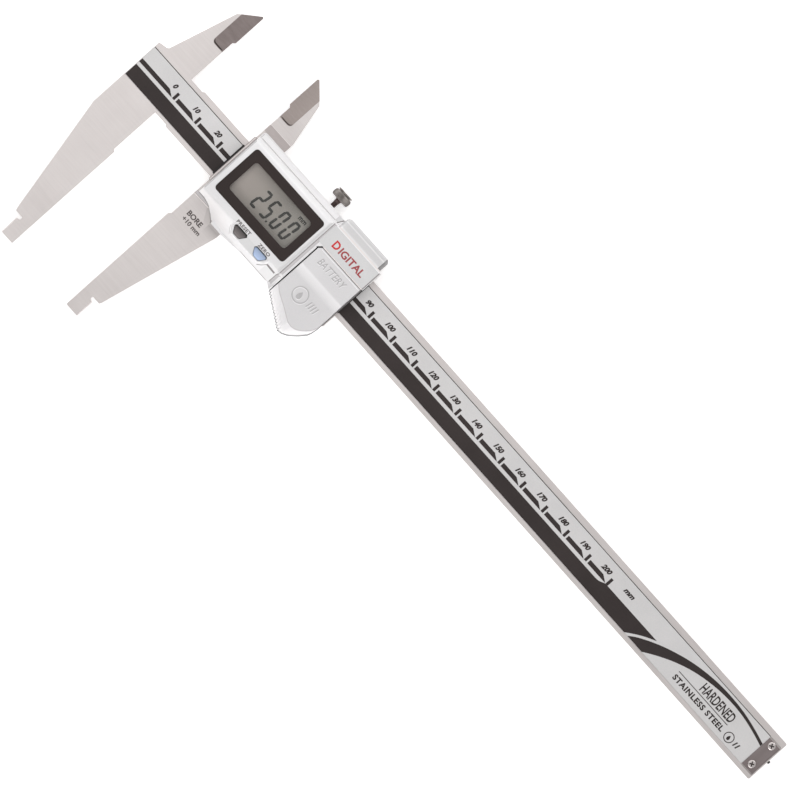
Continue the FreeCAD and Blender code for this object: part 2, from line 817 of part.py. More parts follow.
def display():
    """The bezel, the window, and the liquid crystal cell with its holder and connectors."""
    gap = d.bond_gap
    outer = rectangle(d.bezel_left + gap, d.bezel_low + gap, d.bezel_right - gap, d.bezel_high - gap)
    view = rectangle(d.view_left, d.view_low, d.view_right, d.view_high)
    framed_plate("display_bezel", outer, view, d.window_front, d.bezel_front, d.bezel_round - gap,
                 outer + view)
    window = new_body("display_window")
    pane = rectangle(d.bezel_left + 0.2, d.bezel_low + 0.2, d.bezel_right - 0.2, d.bezel_high - 0.2)
    pad(window, draw(window, pane, level=d.window_back), d.window_front - d.window_back)
    fillet(window, 1.0, upright_at(*pane))
    keep(place(window), "display_window")
    cell = rectangle(d.view_left - 1.0, d.view_low - 1.3, d.view_right + 1.0, d.view_high + 1.3)
    rim = rectangle(d.bezel_left + 0.2, d.bezel_low + 0.2, d.bezel_right - 0.2, d.bezel_high - 0.2)
    seat = rectangle(d.view_left - 1.1, d.view_low - 1.4, d.view_right + 1.1, d.view_high + 1.4)
    framed_plate("lcd_holder", rim, seat, d.board_front, d.window_back, 1.0, rim)
    keep(box("lcd_glass", (*cell[0], d.lcd_back), (*cell[2], d.window_back)), "lcd_glass")
    keep(box("lcd_reflector", (d.view_left - 0.7, d.view_low + 0.1, d.lcd_back - 0.3),
             (d.view_right + 0.7, d.view_high - 0.1, d.lcd_back)), "lcd_reflector")
    strips = [
        box(f"zebra_{name}", (d.view_left + 0.5, low, d.board_front),
            (d.view_right - 0.5, low + 1.0, d.lcd_back))
        for name, low in (("low", d.view_low - 1.2), ("high", d.view_high + 0.2))
    ]
    keep(group("zebra_pair", strips), "zebra_connectors")


# Electronics.


def electronics():
    """The main board with its parts and the detector board over the scale."""
    board_back = d.board_front - d.board_thickness
    board = new_body("main_pcb")
    left = d.housing_left
    outline = [
        (left + 2.0, d.cavity_high - 0.5),
        (d.housing_split - 2.1, d.cavity_high - 0.5),
        (d.housing_split - 2.1, d.cavity_low + 0.4),
        (left + 28.0, d.cavity_low + 0.4),
        (left + 28.0, d.button_pad_low + 1.1),
        (left + 16.6, d.button_pad_low + 1.1),
        (left + 16.6, d.cavity_low + 0.4),
        (left + 2.0, d.cavity_low + 0.4),
    ]
    pad(board, draw(board, outline, level=board_back), d.board_thickness)
    keep(place(board), "main_pcb")
    keep(box("processor_chip", (left + 20.0, -4.0, board_back - 1.2), (left + 27.0, 3.0, board_back)),
         "processor_chip")
    keep(cylinder("crystal", 0.9, 6.0, left + 8.0, 6.0, board_back - 0.9, FreeCAD.Vector(1, 0, 0)), "crystal")
    keep(box("detector_board", (left + 1.6, d.scale_low, d.frame_front - 0.2),
             (d.housing_split - 2.0, d.scale_high + 0.1, d.frame_front + 0.5)), "detector_board")
    keep(box("board_connector", (left + 6.0, -3.0, d.frame_front + 0.5), (left + 16.0, -1.0, board_back)),
         "board_connector")


# Keys.


def key_parts():
    """The two keys, with the membrane and the snap domes below them."""
    for name, x in (("preset_button", d.preset_x), ("zero_button", d.zero_key_x)):
        key = new_body(name)
        flange_back = d.key_ceiling - 0.6
        flange = rectangle(x - 1.4, d.button_y, x + 1.4, d.button_y + 1.8)
        pad(key, draw(key, flange, level=flange_back), 0.45)
        stem = draw(key, button_outline(x, 0.0), level=flange_back)
        pad(key, stem, d.button_front - flange_back)
        fillet(key, 0.3, lying_at(d.button_front))
        keep(place(key), name)
    membrane = box("key_membrane", (d.preset_x - 1.4, d.button_y - 1.0, d.board_front + 0.5),
                   (d.zero_key_x + 1.4, d.button_y + 1.0, d.board_front + 1.7))
    keep(membrane, "key_membrane")
    domes = []
    for name, x in (("preset", d.preset_x), ("zero", d.zero_key_x)):
        dome = doc.addObject("Part::Cone", f"dome_{name}")
        bind(dome, "Radius1", 1.3)
        bind(dome, "Radius2", 0.6)
        bind(dome, "Height", 0.45)
        domes.append(place(dome, x, d.button_y, d.board_front))
    keep(group("dome_pair", domes), "snap_domes")


# Name plate and data connector on the right part of the housing.


def rear_trim():
    """The name plate, the data connector and the cover over it."""
    plate = new_body("name_plate")
    outline = rectangle(d.housing_step + 1.0, d.rear_low + 0.2, d.housing_right - 0.5, d.face_high - 0.55)
    pad(plate, draw(plate, outline, level=d.housing_rear_front), 0.15)
    fillet(plate, 0.5, upright_at(*outline))
    keep(place(plate), "name_plate")
    keep(box("data_connector", (d.cover_left + 5.0, d.cavity_high - 0.4, d.housing_bottom + 0.2),
             (d.cover_right - 4.5, d.face_high - 0.1, d.housing_shelf + 0.7)), "data_connector")
    cover = new_body("connector_cover")
    section = [
        (d.cover_low, d.housing_bottom + 0.1),
        (d.cover_low, d.cover_front),
        (d.cover_high - 1.35, d.cover_front),
        (d.cover_high, d.cover_front - 1.3),
        (d.cover_high, 3.6),
        (d.frame_high + 0.1, 3.6),
        (d.frame_high + 0.1, d.housing_bottom + 0.1),
    ]
    sketch = draw(cover, section, level=d.cover_left, plane="YZ_Plane")
    pad(cover, sketch, d.cover_right - d.cover_left)
    ends = [(d.cover_left, d.cover_high), (d.cover_right, d.cover_high)]
    fillet(cover, 1.0, upright_at(*ends))
    keep(place(cover), "connector_cover")


# Battery compartment and thumb rest.


def thumb_outline(high):
    """The thumb rest's edge, from its upper left corner round the lobe."""
    left = d.lid_left
    return [
        (left, high),
        (left, d.battery_y - 6.5),
        (left + 3.7, d.battery_y - 8.6),
        (left + 7.0, d.battery_y - 10.5),
        (left + 9.9, d.battery_y - 12.2),
        (left + 10.9, d.battery_y - 12.6),
        (left + 12.4, d.battery_y - 12.3),
        (left + 14.2, d.battery_y - 11.2),
        (left + 16.2, d.battery_y - 9.2),
        (left + 17.9, d.battery_y - 6.9),
        (left + 18.6, d.battery_y - 5.3),
        (d.lid_right, d.battery_y - 3.6),
        (d.lid_right, high),
    ]


def thumb_face(high):
    """The edge of the thumb rest's front face, point for point inside thumb_outline."""
    left = d.lid_left
    return [
        (left + 0.1, high),
        (left + 0.1, d.battery_y - 3.1),
        (left + 2.8, d.battery_y - 4.9),
        (left + 6.5, d.battery_y - 6.6),
        (left + 9.6, d.battery_y - 8.2),
        (left + 11.0, d.battery_y - 8.9),
        (left + 12.6, d.battery_y - 9.1),
        (left + 14.2, d.battery_y - 8.7),
        (left + 15.6, d.battery_y - 7.8),
        (left + 17.2, d.battery_y - 6.2),
        (left + 18.2, d.battery_y - 4.8),
        (d.lid_right - 0.1, d.battery_y - 3.2),
        (d.lid_right - 0.1, high),
    ]


def cut_lid_corner(body, level, depth):
    """Cut off the upper left corner of the lid or of the case under it."""
    corner = [
        (d.lid_left - 0.2, d.lid_high - 1.55),
        (d.lid_left + 1.4, d.lid_high + 0.2),
        (d.lid_left - 0.2, d.lid_high + 0.2),
    ]
    pocket(body, draw(body, corner, level=level), depth, forward=True)


LID_SCREWS = ((d.lid_left + 2.5, d.battery_y - 4.6), (d.lid_right - 2.6, d.battery_y - 5.4))


def battery_case():
    """The case under the lid: a floor over the rail and a lobe below it."""
    body = new_body("battery_case")
    pad(body, draw(body, thumb_outline(d.lid_high), level=d.case_floor), d.case_front - d.case_floor)
    lobe = thumb_outline(d.frame_low - 0.15)
    pad(body, draw(body, lobe, level=d.case_back), d.case_floor + 0.2 - d.case_back)
    well = draw_circle(body, d.battery_x, d.battery_y, d.battery_radius + 0.2, d.case_front)
    pocket(body, well, d.case_front - d.case_floor)
    for x, y in LID_SCREWS:
        pocket(body, draw_circle(body, x, y, 0.85, d.case_back), 6.0, forward=True)
        pocket(body, draw_circle(body, x, y, 1.6, d.case_back), 1.2, forward=True)
    cut_lid_corner(body, d.case_floor, d.case_front - d.case_floor)
    return keep(place(body), "battery_case")


def battery_lid():
    """The lid and thumb rest: a raised rear part, a ridge and a lobe with sloping sides."""
    body = new_body("battery_lid")
    base = draw(body, thumb_outline(d.lid_high), level=d.lid_bottom)
    face = draw(body, thumb_face(d.lid_high - 0.1), level=d.lid_front)
    loft = body.newObject("PartDesign::AdditiveLoft", "battery_lid_loft")
    loft.Profile = base
    loft.Sections = [face]
    loft.Ruled = True
    doc.recompute()
    ridge = [
        (d.lid_ridge - 2.8, d.lid_front - 0.5),
        (d.lid_ridge - 2.8, d.lid_front),
        (d.lid_ridge - 1.3, d.lid_raised_front),
        (d.lid_high - 0.1, d.lid_raised_front),
        (d.lid_high - 0.1, d.lid_front - 0.5),
    ]
    sketch = draw(body, ridge, level=d.lid_left + 0.15, plane="YZ_Plane")
    pad(body, sketch, d.lid_right - d.lid_left - 0.3)
    well = draw_circle(body, d.battery_x, d.battery_y, d.battery_radius + 0.8, d.lid_bottom)
    well_depth = d.case_floor + 0.25 + d.battery_height + 0.15 - d.lid_bottom
    pocket(body, well, well_depth, forward=True)
    for x, y in LID_SCREWS:
        pocket(body, draw_circle(body, x, y, 0.82, d.lid_bottom), 3.2, forward=True)
    cut_lid_corner(body, d.lid_bottom, d.lid_raised_front - d.lid_bottom)
    return keep(place(body), "battery_lid")


def battery():
    """The button cell, its seal and contacts, and the lid's screws."""
    x = d.battery_x
    y = d.battery_y
    cell_bottom = d.case_floor + 0.25
    keep(cylinder("battery_cell", d.battery_radius, d.battery_height, x, y, cell_bottom), "battery")
    ring = cut(
        "lid_seal",
        cylinder("lid_seal_disc", d.battery_radius + 1.6, d.lid_bottom - d.case_front, x, y, d.case_front),
        cylinder("lid_seal_hole", d.battery_radius + 0.85, d.lid_bottom - d.case_front, x, y, d.case_front),
    )
    keep(ring, "battery_lid_gasket")
    keep(cylinder("contact_disc", 3.0, 0.2, x, y, d.case_floor + 0.02), "battery_contact_neg")
    keep(box("contact_leaf", (x - 1.5, y + d.battery_radius + 0.05, d.lid_bottom),
             (x + 1.5, y + d.battery_radius + 0.3, cell_bottom + 4.5)), "battery_contact_pos")
    screws = [
        slotted_screw(f"lid_screw_{index}", 1.5, 0.9, 0.8, 7.6, screw_x, screw_y, d.case_back + 0.2)
        for index, (screw_x, screw_y) in enumerate(LID_SCREWS)
    ]
    keep(group("lid_screw_pair", screws), "battery_lid_screws")


# Clamp.


def clamp():
    """The brass pad that bears on the gib strip and the knurled screw behind it."""
    pad_length = d.clamp_pad_high - d.clamp_pad_low
    keep(cylinder("clamp_pad", d.clamp_shank_radius, pad_length, d.clamp_x, d.clamp_pad_low, d.clamp_z,
                  FreeCAD.Vector(0, 1, 0)), "clamp_pad")
    screw = new_body("clamp_screw")
    base = d.clamp_pad_high
    knob_start = d.knob_low - base
    knob_stop = d.knob_high - base
    profile = [
        (Size(0.0, "0"), 0.02),
        (d.clamp_shank_radius, 0.02),
        (d.clamp_shank_radius, knob_start - 0.9),
        (d.clamp_shank_radius + 0.6, knob_start),
        (d.knob_radius - 0.6, knob_start),
        (d.knob_radius, knob_start + 0.6),
        (d.knob_radius, knob_stop - 0.2),
        (d.knob_radius - 0.2, knob_stop),
        (d.cap_radius - 0.4, knob_stop),
        (d.cap_radius - 0.4, knob_stop + 0.15),
        (d.cap_radius, knob_stop + 0.15),
        (d.cap_radius, d.cap_high - base),
        (Size(0.0, "0"), d.cap_high - base),
    ]
    turned = screw.newObject("PartDesign::Revolution", "clamp_screw_turned")
    sketch = draw(screw, profile, plane="XZ_Plane")
    turned.Profile = sketch
    turned.ReferenceAxis = (sketch, ["V_Axis"])
    turned.Angle = 360
    doc.recompute()
    groove = pocket(screw, draw_circle(screw, d.knob_radius + 0.1, 0.0, 0.24, knob_start), d.knob_high
                    - d.knob_low, forward=True)
    knurl = screw.newObject("PartDesign::PolarPattern", "clamp_screw_knurl")
    knurl.Originals = [groove]
    knurl.Axis = (groove.Profile[0], ["N_Axis"])
    knurl.Angle = 360
    knurl.Occurrences = 36
    screw.Tip = knurl
    doc.recompute()
    keep(place(screw, d.clamp_x, base, d.clamp_z, FreeCAD.Vector(0, 1, 0)), "clamp_screw")


main_beam()
scale()
end_plate()
slider_frame()
gib()
wipers()
display_housing()
housing_gasket()
housing_screws()
display()
electronics()
key_parts()
rear_trim()
battery_case()
battery_lid()
battery()
clamp()
doc.recompute()

for thing in doc.Objects:
    if "Invalid" in thing.State or "Error" in thing.State:
        raise RuntimeError(f"{thing.Name} failed: {thing.State}")
for piece in pieces:
    if piece.Shape.isNull() or not piece.Shape.isValid() or not piece.Shape.Solids:
        raise RuntimeError(f"{piece.Label} has no valid solid")

os.makedirs("parts", exist_ok=True)
for piece in pieces:
    piece.Shape.exportStep(f"parts/{piece.Label}.step")
    bounds = piece.Shape.BoundBox
    print(f"{piece.Label}: {len(piece.Shape.Solids)} solid(s), {piece.Shape.Volume:.1f} mm3, "
          f"z {bounds.ZMin:.2f} to {bounds.ZMax:.2f}")
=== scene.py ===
"""Looks for the digital caliper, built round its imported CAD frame.

Builders work in millimetres in the drawing frame: x along the beam from the scale's zero line,
y across it, z up from the back of the slider. piece() turns the result into metres in the row frame.
"""

import math

import bmesh
import bpy
from mathutils import Matrix, Vector
from mathutils.bvhtree import BVHTree


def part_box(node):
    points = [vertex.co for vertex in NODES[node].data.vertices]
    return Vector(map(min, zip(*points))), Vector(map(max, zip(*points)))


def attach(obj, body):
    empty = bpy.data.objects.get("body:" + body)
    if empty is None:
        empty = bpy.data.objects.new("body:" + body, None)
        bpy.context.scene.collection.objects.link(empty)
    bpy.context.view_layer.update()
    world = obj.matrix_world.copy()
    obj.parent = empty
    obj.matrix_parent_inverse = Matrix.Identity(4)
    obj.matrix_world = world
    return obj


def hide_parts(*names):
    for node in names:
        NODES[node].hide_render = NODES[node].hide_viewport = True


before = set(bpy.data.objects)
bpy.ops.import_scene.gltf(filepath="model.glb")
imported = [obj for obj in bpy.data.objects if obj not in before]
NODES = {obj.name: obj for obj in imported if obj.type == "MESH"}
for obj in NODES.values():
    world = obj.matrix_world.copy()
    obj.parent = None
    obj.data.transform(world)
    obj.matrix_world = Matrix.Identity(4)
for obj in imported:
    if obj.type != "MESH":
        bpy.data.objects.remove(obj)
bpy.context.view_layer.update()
SCENE = bpy.context.scene

MM = 0.001
BEAM_LEFT = -15.9
JAW_TIP = -67.7
JAW_OPENING = 25.0
beam_low, beam_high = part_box("main_beam")
ORIGIN = Vector((beam_low.x - BEAM_LEFT * MM, beam_low.y - JAW_TIP * MM, 0.0))
TO_ROW = Matrix.Translation(ORIGIN) @ Matrix.Scale(MM, 4)
FROM_ROW = TO_ROW.inverted()


# Materials.


def linear(red, green, blue):
    """A screen colour, 0 to 255, as the linear colour that a shader takes."""
    def channel(value):
        value /= 255.0
        return value / 12.92 if value <= 0.04045 else ((value + 0.055) / 1.055) ** 2.4
    return channel(red), channel(green), channel(blue), 1.0


def grey(level):
    return level, level, level, 1.0


def mixed(low, high):
    """Two stops that keep a noise's usual range between two screen colours."""
    return [(0.3, linear(*low)), (0.7, linear(*high))]


def fill_ramp(node, stops):
    """Give a colour ramp its (position, colour) stops."""
    elements = node.color_ramp.elements
    while len(elements) < len(stops):
        elements.new(0.5)
    for element, (position, colour) in zip(elements, stops):
        element.position = position
        element.color = colour


# The Mix node's colour sockets, which share their names with its other sockets.
MIX_FIRST, MIX_SECOND, MIX_RESULT = 6, 7, 2

# Painted light and shade: materials whose tone changes slowly across the beam, by (y in mm, level) pairs.
PAINTED_FADES = {
    # Painted shade on the slider's steel towards the housing's lower side.
    "slider_steel": ((-24.0, 1.0), (-21.0, 0.98), (-18.0, 0.965), (-15.6, 0.92), (-9.0, 0.96), (12.0, 1.0)),
    # Painted shadow that the housing casts on the jaw, lighter along the scoop.
    "jaw_shade": (
        (-22.0, 0.97), (-20.8, 0.91), (-20.0, 0.83), (-19.3, 0.75), (-19.0, 0.7), (-18.7, 0.74),
        (-18.2, 0.9)),
    "jaw_half_shade": ((-21.0, 0.95), (-19.8, 0.92), (-18.6, 0.86), (-16.0, 0.82)),
    # Painted highlights on the housing's lower slope and on its top band.
    "housing_silver": (
        (-17.3, 0.9), (-14.2, 0.99), (-12.9, 0.99), (-12.2, 0.84), (-9.0, 0.83), (8.0, 0.91), (8.9, 0.92),
        (9.5, 1.0)),
    # Painted light and shade bands across the connector cover.
    "cover_silver": (
        (10.8, 0.95), (11.3, 0.95), (11.6, 0.78), (13.3, 0.78), (13.65, 1.0), (13.95, 0.75), (14.9, 0.82),
        (15.15, 0.5)),
    # Painted highlight on the lid's ridge.
    "lid_silver": ((-20.9, 0.78), (-8.6, 0.77), (-7.4, 0.9), (-5.4, 1.0), (-4.9, 0.8), (2.8, 0.8)),
    # Painted shade towards the keys' upper edges.
    "button_black": ((-14.9, 1.0), (-14.2, 0.78), (-13.2, 0.52), (-12.7, 0.34), (-12.3, 0.12)),
    "button_blue": ((-14.9, 1.0), (-14.2, 0.84), (-13.2, 0.7), (-12.7, 0.62), (-12.3, 0.3)),
}


class Nodes:
    """A material's node tree, with short calls for the nodes used here."""

    def __init__(self, name):
        self.material = bpy.data.materials.new(name)
        self.material.use_nodes = True
        self.tree = self.material.node_tree
        self.shader = self.tree.nodes["Principled BSDF"]
        self.fade = PAINTED_FADES.get(name)
        self.place = self.add("ShaderNodeTexCoord").outputs["Object"]

    def add(self, kind, **inputs):
        node = self.tree.nodes.new(kind)
        for key, value in inputs.items():
            self.put(node.inputs[key.replace("_", " ")], value)
        return node

    def put(self, socket, value):
        if isinstance(value, bpy.types.NodeSocket):
            self.tree.links.new(value, socket)
        else:
            socket.default_value = value

    def stretched(self, stretch):
        return self.add("ShaderNodeMapping", Vector=self.place, Scale=stretch).outputs["Vector"]

    def noise(self, scale, detail=4.0, roughness=0.55, stretch=(1.0, 1.0, 1.0)):
        place = self.stretched(stretch)
        node = self.add("ShaderNodeTexNoise", Vector=place, Scale=scale, Detail=detail, Roughness=roughness)
        return node.outputs["Fac"]

    def ramp(self, factor, stops):
        node = self.add("ShaderNodeValToRGB", Fac=factor)
        fill_ramp(node, stops)
        return node.outputs["Color"]

    def spread(self, factor, low, high, source=(0.3, 0.7)):
        node = self.add("ShaderNodeMapRange", Value=factor, From_Min=source[0], From_Max=source[1],
                        To_Min=low, To_Max=high)
        return node.outputs["Result"]

    def maths(self, operation, first, second):
        node = self.tree.nodes.new("ShaderNodeMath")
        node.operation = operation
        self.put(node.inputs[0], first)
        self.put(node.inputs[1], second)
        return node.outputs["Value"]

    def blend(self, kind, factor, first, second):
        node = self.tree.nodes.new("ShaderNodeMix")
        node.data_type = "RGBA"
        node.blend_type = kind
        node.inputs["Factor"].default_value = factor
        self.put(node.inputs[MIX_FIRST], first)
        self.put(node.inputs[MIX_SECOND], second)
        return node.outputs[MIX_RESULT]

    def toned(self, slow, fine, share, dark, light):
        """A colour between dark and light by two noises, times the material's painted light and shade across
        the beam.
        """
        slow, fine = self.maths("MULTIPLY", slow, share), self.maths("MULTIPLY", fine, 1.0 - share)
        colour = self.ramp(self.maths("ADD", slow, fine), mixed(dark, light))
        if not self.fade:
            return colour
        parts = self.add("ShaderNodeSeparateXYZ", Vector=self.place)
        first, last = self.fade[0][0], self.fade[-1][0]
        ends = [(TO_ROW @ Vector((0, y, 0))).y for y in (first, last)]
        across = self.spread(parts.outputs["Y"], 0.0, 1.0, ends)
        levels = self.ramp(across, [((y - first) / (last - first), grey(level)) for y, level in self.fade])
        return self.blend("MULTIPLY", 1.0, colour, levels)

    def bump(self, height, strength, depth_mm):
        node = self.add("ShaderNodeBump", Height=height, Strength=strength, Distance=depth_mm * MM)
        self.put(self.shader.inputs["Normal"], node.outputs["Normal"])

    def shade(self, **inputs):
        for key, value in inputs.items():
            self.put(self.shader.inputs[key.replace("_", " ")], value)
        return self.material


def ground_steel(name, dark, light, roughness, stretch, depth=0.004):
    """Satin steel with the fine lines of a grinding wheel."""
    nodes = Nodes(name)
    lines = nodes.noise(1400.0, 5.0, 0.65, stretch)
    colour = nodes.toned(nodes.noise(45.0, 3.0), lines, 0.55, dark, light)
    nodes.bump(lines, 0.35, depth)
    return nodes.shade(Base_Color=colour, Metallic=0.85, Roughness=nodes.spread(lines, *roughness))


def moulded(name, dark, light, roughness, grain, depth, metallic=0.0, sparkle=0.0, specular=0.5):
    """Moulded or painted plastic with a fine even texture and, in a paint, metal flakes."""
    nodes = Nodes(name)
    fine = nodes.noise(grain, 4.0, 0.6)
    colour = nodes.toned(nodes.noise(60.0, 3.0), fine, 0.6, dark, light)
    if sparkle:
        flakes = nodes.add("ShaderNodeTexVoronoi", Vector=nodes.place, Scale=9000.0)
        colour = nodes.blend("SOFT_LIGHT", sparkle, colour, flakes.outputs["Color"])
        colour = nodes.add("ShaderNodeHueSaturation", Color=colour, Saturation=0.35).outputs["Color"]
    nodes.bump(fine, 0.3, depth)
    return nodes.shade(
        Base_Color=colour,
        Metallic=metallic,
        Roughness=nodes.spread(fine, *roughness),
        Specular_IOR_Level=specular,
    )


def display_glass(name):
    """The reflective liquid crystal glass: grey green, warmer towards its left end."""
    nodes = Nodes(name)
    parts = nodes.add("ShaderNodeSeparateXYZ", Vector=nodes.place)
    low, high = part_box("lcd_glass")
    along = nodes.spread(parts.outputs["X"], 0.0, 1.0, (low.x, high.x))
    tone = nodes.maths("ADD", along, nodes.maths("MULTIPLY", nodes.noise(120.0, 2.0), 0.12))
    colour = nodes.ramp(tone, [
        (0.06, linear(163, 153, 147)),
        (0.38, linear(152, 144, 137)),
        (0.66, linear(140, 134, 127)),
        (1.0, linear(146, 141, 134)),
    ])
    grain = nodes.noise(9000.0, 2.0)
    nodes.bump(grain, 0.1, 0.004)
    return nodes.shade(Base_Color=colour, Roughness=nodes.spread(grain, 0.3, 0.42), Metallic=0.1)


def clear_plastic(name):
    """The window: nearly clear, with a faint film of gloss."""
    nodes = Nodes(name)
    smear = nodes.noise(180.0, 3.0)
    nodes.material.surface_render_method = "BLENDED"
    return nodes.shade(
        Base_Color=nodes.ramp(smear, mixed((206, 206, 202), (226, 226, 222))),
        Roughness=nodes.spread(smear, 0.04, 0.1),
        IOR=1.49,
        Alpha=0.05,
    )


def circuit(name):
    """Solder mask with copper tracks under it."""
    nodes = Nodes(name)
    brick = nodes.add("ShaderNodeTexBrick", Vector=nodes.place, Scale=260.0, Mortar_Size=0.018,
                      Color1=linear(28, 88, 52), Color2=linear(24, 78, 48), Mortar=linear(76, 130, 74))
    nodes.bump(brick.outputs["Fac"], 0.4, 0.03)
    gloss = nodes.spread(nodes.noise(900.0), 0.3, 0.45)
    return nodes.shade(Base_Color=brick.outputs["Color"], Roughness=gloss)


# How far the grinding lines are drawn out along each axis.
ALONG = (0.04, 1.0, 1.0)
ACROSS = (1.0, 0.04, 1.0)
BLADE = (0.03, 1.0, 1.0)
EVEN = (1.0, 1.0, 1.0)

# Ranges of roughness.
SATIN = (0.34, 0.46)
SMOOTH = (0.3, 0.42)
BRIGHT = (0.3, 0.45)

# Grain, its depth in mm, how metallic it is and its flakes.
HOUSING_PAINT = (3200.0, 0.006, 0.3, 0.14)
LID_PAINT = (3000.0, 0.008, 0.3, 0.14)

SLIDER_STEEL = ((205, 198, 196), (222, 216, 214), SATIN, ALONG)

# Dark and light screen colour, roughness, lay and, where it isn't 0.004, depth of the lines in mm.
STEELS = {
    "hardened_steel": ((207, 200, 198), (224, 218, 216), SATIN, ALONG),
    "slider_steel": SLIDER_STEEL,
    # These two paint the housing's shadow on the jaw.
    "jaw_shade": SLIDER_STEEL,
    "jaw_half_shade": SLIDER_STEEL,
    "blade_steel": ((140, 128, 126), (172, 160, 157), SMOOTH, BLADE, 0.008),
    "end_steel": ((128, 118, 117), (150, 140, 139), (0.36, 0.5), ACROSS),
    "dark_screw": ((120, 114, 112), (158, 152, 150), (0.25, 0.4), EVEN),
    "bright_screw": ((196, 188, 186), (230, 224, 222), (0.2, 0.34), EVEN),
    "screw_steel": ((150, 146, 144), (190, 186, 184), (0.24, 0.38), EVEN),
    "clamp_steel": ((128, 122, 118), (168, 161, 157), (0.26, 0.42), EVEN, 0.01),
    "clamp_dark": ((78, 65, 64), (108, 93, 91), BRIGHT, EVEN, 0.01),
    "clamp_cap": ((128, 119, 116), (156, 147, 144), BRIGHT, EVEN, 0.01),
    # Painted shade in the end screws' cross recesses and along the knife jaws' run-out.
    "recess_shade": ((70, 62, 60), (96, 88, 86), (0.4, 0.55), EVEN),
    # A darker copy of the slider's steel: painted shade on the slopes beside the jaws, and the wiper plate's
    # tone.
    "slope_shade_steel": ((172, 163, 161), (192, 184, 182), SATIN, ALONG),
    "blade_light": ((138, 128, 124), (162, 152, 148), SMOOTH, BLADE, 0.008),
    "bronze": ((150, 112, 62), (186, 146, 88), BRIGHT, EVEN),
    "contact_metal": ((190, 182, 160), (220, 212, 190), (0.2, 0.35), EVEN),
    "battery_can": ((186, 186, 188), (214, 214, 216), (0.18, 0.3), EVEN),
    "crystal_can": ((186, 186, 186), (212, 212, 212), (0.2, 0.3), EVEN),
    "lcd_foil": ((176, 176, 172), (196, 196, 190), (0.3, 0.4), EVEN),
}

# Dark and light screen colour, roughness, grain, its depth in mm and, where they matter, how metallic
# it is, its flakes and its specular level.
MOULDINGS = {
    "scale_board": ((96, 90, 80), (118, 110, 98), (0.4, 0.55), 1800.0, 0.01),
    "scale_laminate": ((210, 204, 203), (221, 215, 214), (0.34, 0.48), 2600.0, 0.004, 0.25, 0.12),
    "housing_silver": ((247, 242, 244), (254, 250, 252), SMOOTH, *HOUSING_PAINT),
    # Copies of the housing's paint: darker as painted shade on the slope right of the button pad, at full
    # brightness as a painted highlight on the ramp to the rear part, and darker as painted shade on the
    # button pad and on the shelf's right end.
    "slope_shade_silver": ((231, 227, 228), (239, 235, 236), SATIN, *HOUSING_PAINT),
    "step_highlight_silver": ((247, 242, 244), (254, 250, 252), SMOOTH, *HOUSING_PAINT),
    "pad_shade_silver": ((221, 218, 219), (231, 228, 229), SMOOTH, *HOUSING_PAINT),
    "cover_silver": ((245, 240, 242), (253, 249, 250), SMOOTH, *HOUSING_PAINT),
    "cover_shade": ((132, 127, 128), (148, 143, 144), SATIN, *HOUSING_PAINT),
    "lid_silver": ((243, 236, 239), (251, 245, 248), SATIN, *LID_PAINT),
    # The lid's paint at full brightness as painted highlight, and a darker copy as painted shade on the
    # raised marks.
    "lid_highlight": ((243, 236, 239), (251, 245, 248), SATIN, *LID_PAINT),
    "lid_raised_shade": ((182, 176, 178), (196, 190, 192), SATIN, *LID_PAINT),
    # Lines of painted shade and painted highlight along edges, steps and gaps.
    "shade_line_dark": ((138, 133, 133), (154, 149, 149), (0.5, 0.65), 2400.0, 0.006, 0.0, 0.0, 0.2),
    "shade_line_light": ((196, 192, 193), (208, 204, 205), (0.5, 0.65), 2400.0, 0.006, 0.0, 0.0, 0.2),
    "highlight_line": ((232, 225, 223), (244, 237, 235), (0.4, 0.5), 2400.0, 0.006),
    "bezel_dark": ((44, 36, 34), (56, 46, 44), SATIN, 2400.0, 0.006, 0.0, 0.0, 0.22),
    "inner_plastic": ((56, 56, 58), (70, 70, 72), (0.45, 0.6), 1500.0, 0.01),
    "elastomer": ((120, 122, 126), (142, 144, 148), (0.55, 0.7), 1500.0, 0.01),
    "black_rubber": ((34, 31, 31), (48, 44, 44), (0.55, 0.75), 1200.0, 0.015),
    "chip_black": ((30, 30, 32), (42, 42, 44), (0.4, 0.55), 2200.0, 0.008),
    "button_black": ((128, 121, 120), (146, 139, 138), (0.42, 0.58), 2000.0, 0.012, 0.0, 0.0, 0.3),
    "button_blue": ((194, 214, 250), (203, 223, 254), (0.36, 0.5), 2000.0, 0.01, 0.0, 0.0, 0.3),
    "plate_light": ((212, 209, 210), (224, 221, 222), SMOOTH, 2600.0, 0.004, 0.3, 0.1),
    "print_black": ((46, 39, 38), (60, 52, 51), (0.42, 0.56), 2200.0, 0.004, 0.0, 0.0, 0.25),
    "print_grey": ((78, 72, 72), (98, 92, 92), (0.45, 0.6), 2200.0, 0.004),
    "print_red": ((150, 54, 58), (172, 74, 78), (0.4, 0.55), 2200.0, 0.004),
    "print_bright_red": ((196, 30, 36), (214, 48, 52), (0.4, 0.55), 2200.0, 0.004),
    "etched": ((76, 68, 66), (96, 88, 86), (0.6, 0.75), 2600.0, 0.01),
    "lcd_ink": ((20, 20, 17), (32, 32, 28), (0.4, 0.5), 2600.0, 0.004, 0.0, 0.0, 0.08),
}

MATERIALS = {name: ground_steel(name, *values) for name, values in STEELS.items()}
MATERIALS.update({name: moulded(name, *values) for name, values in MOULDINGS.items()})
MATERIALS["lcd_face"] = display_glass("lcd_face")
MATERIALS["window_clear"] = clear_plastic("window_clear")
MATERIALS["circuit_board"] = circuit("circuit_board")

for node in NODES.values():
    for index, old in enumerate(node.data.materials):
        node.data.materials[index] = MATERIALS[old.name.split(".")[0]]


# Mesh helpers.


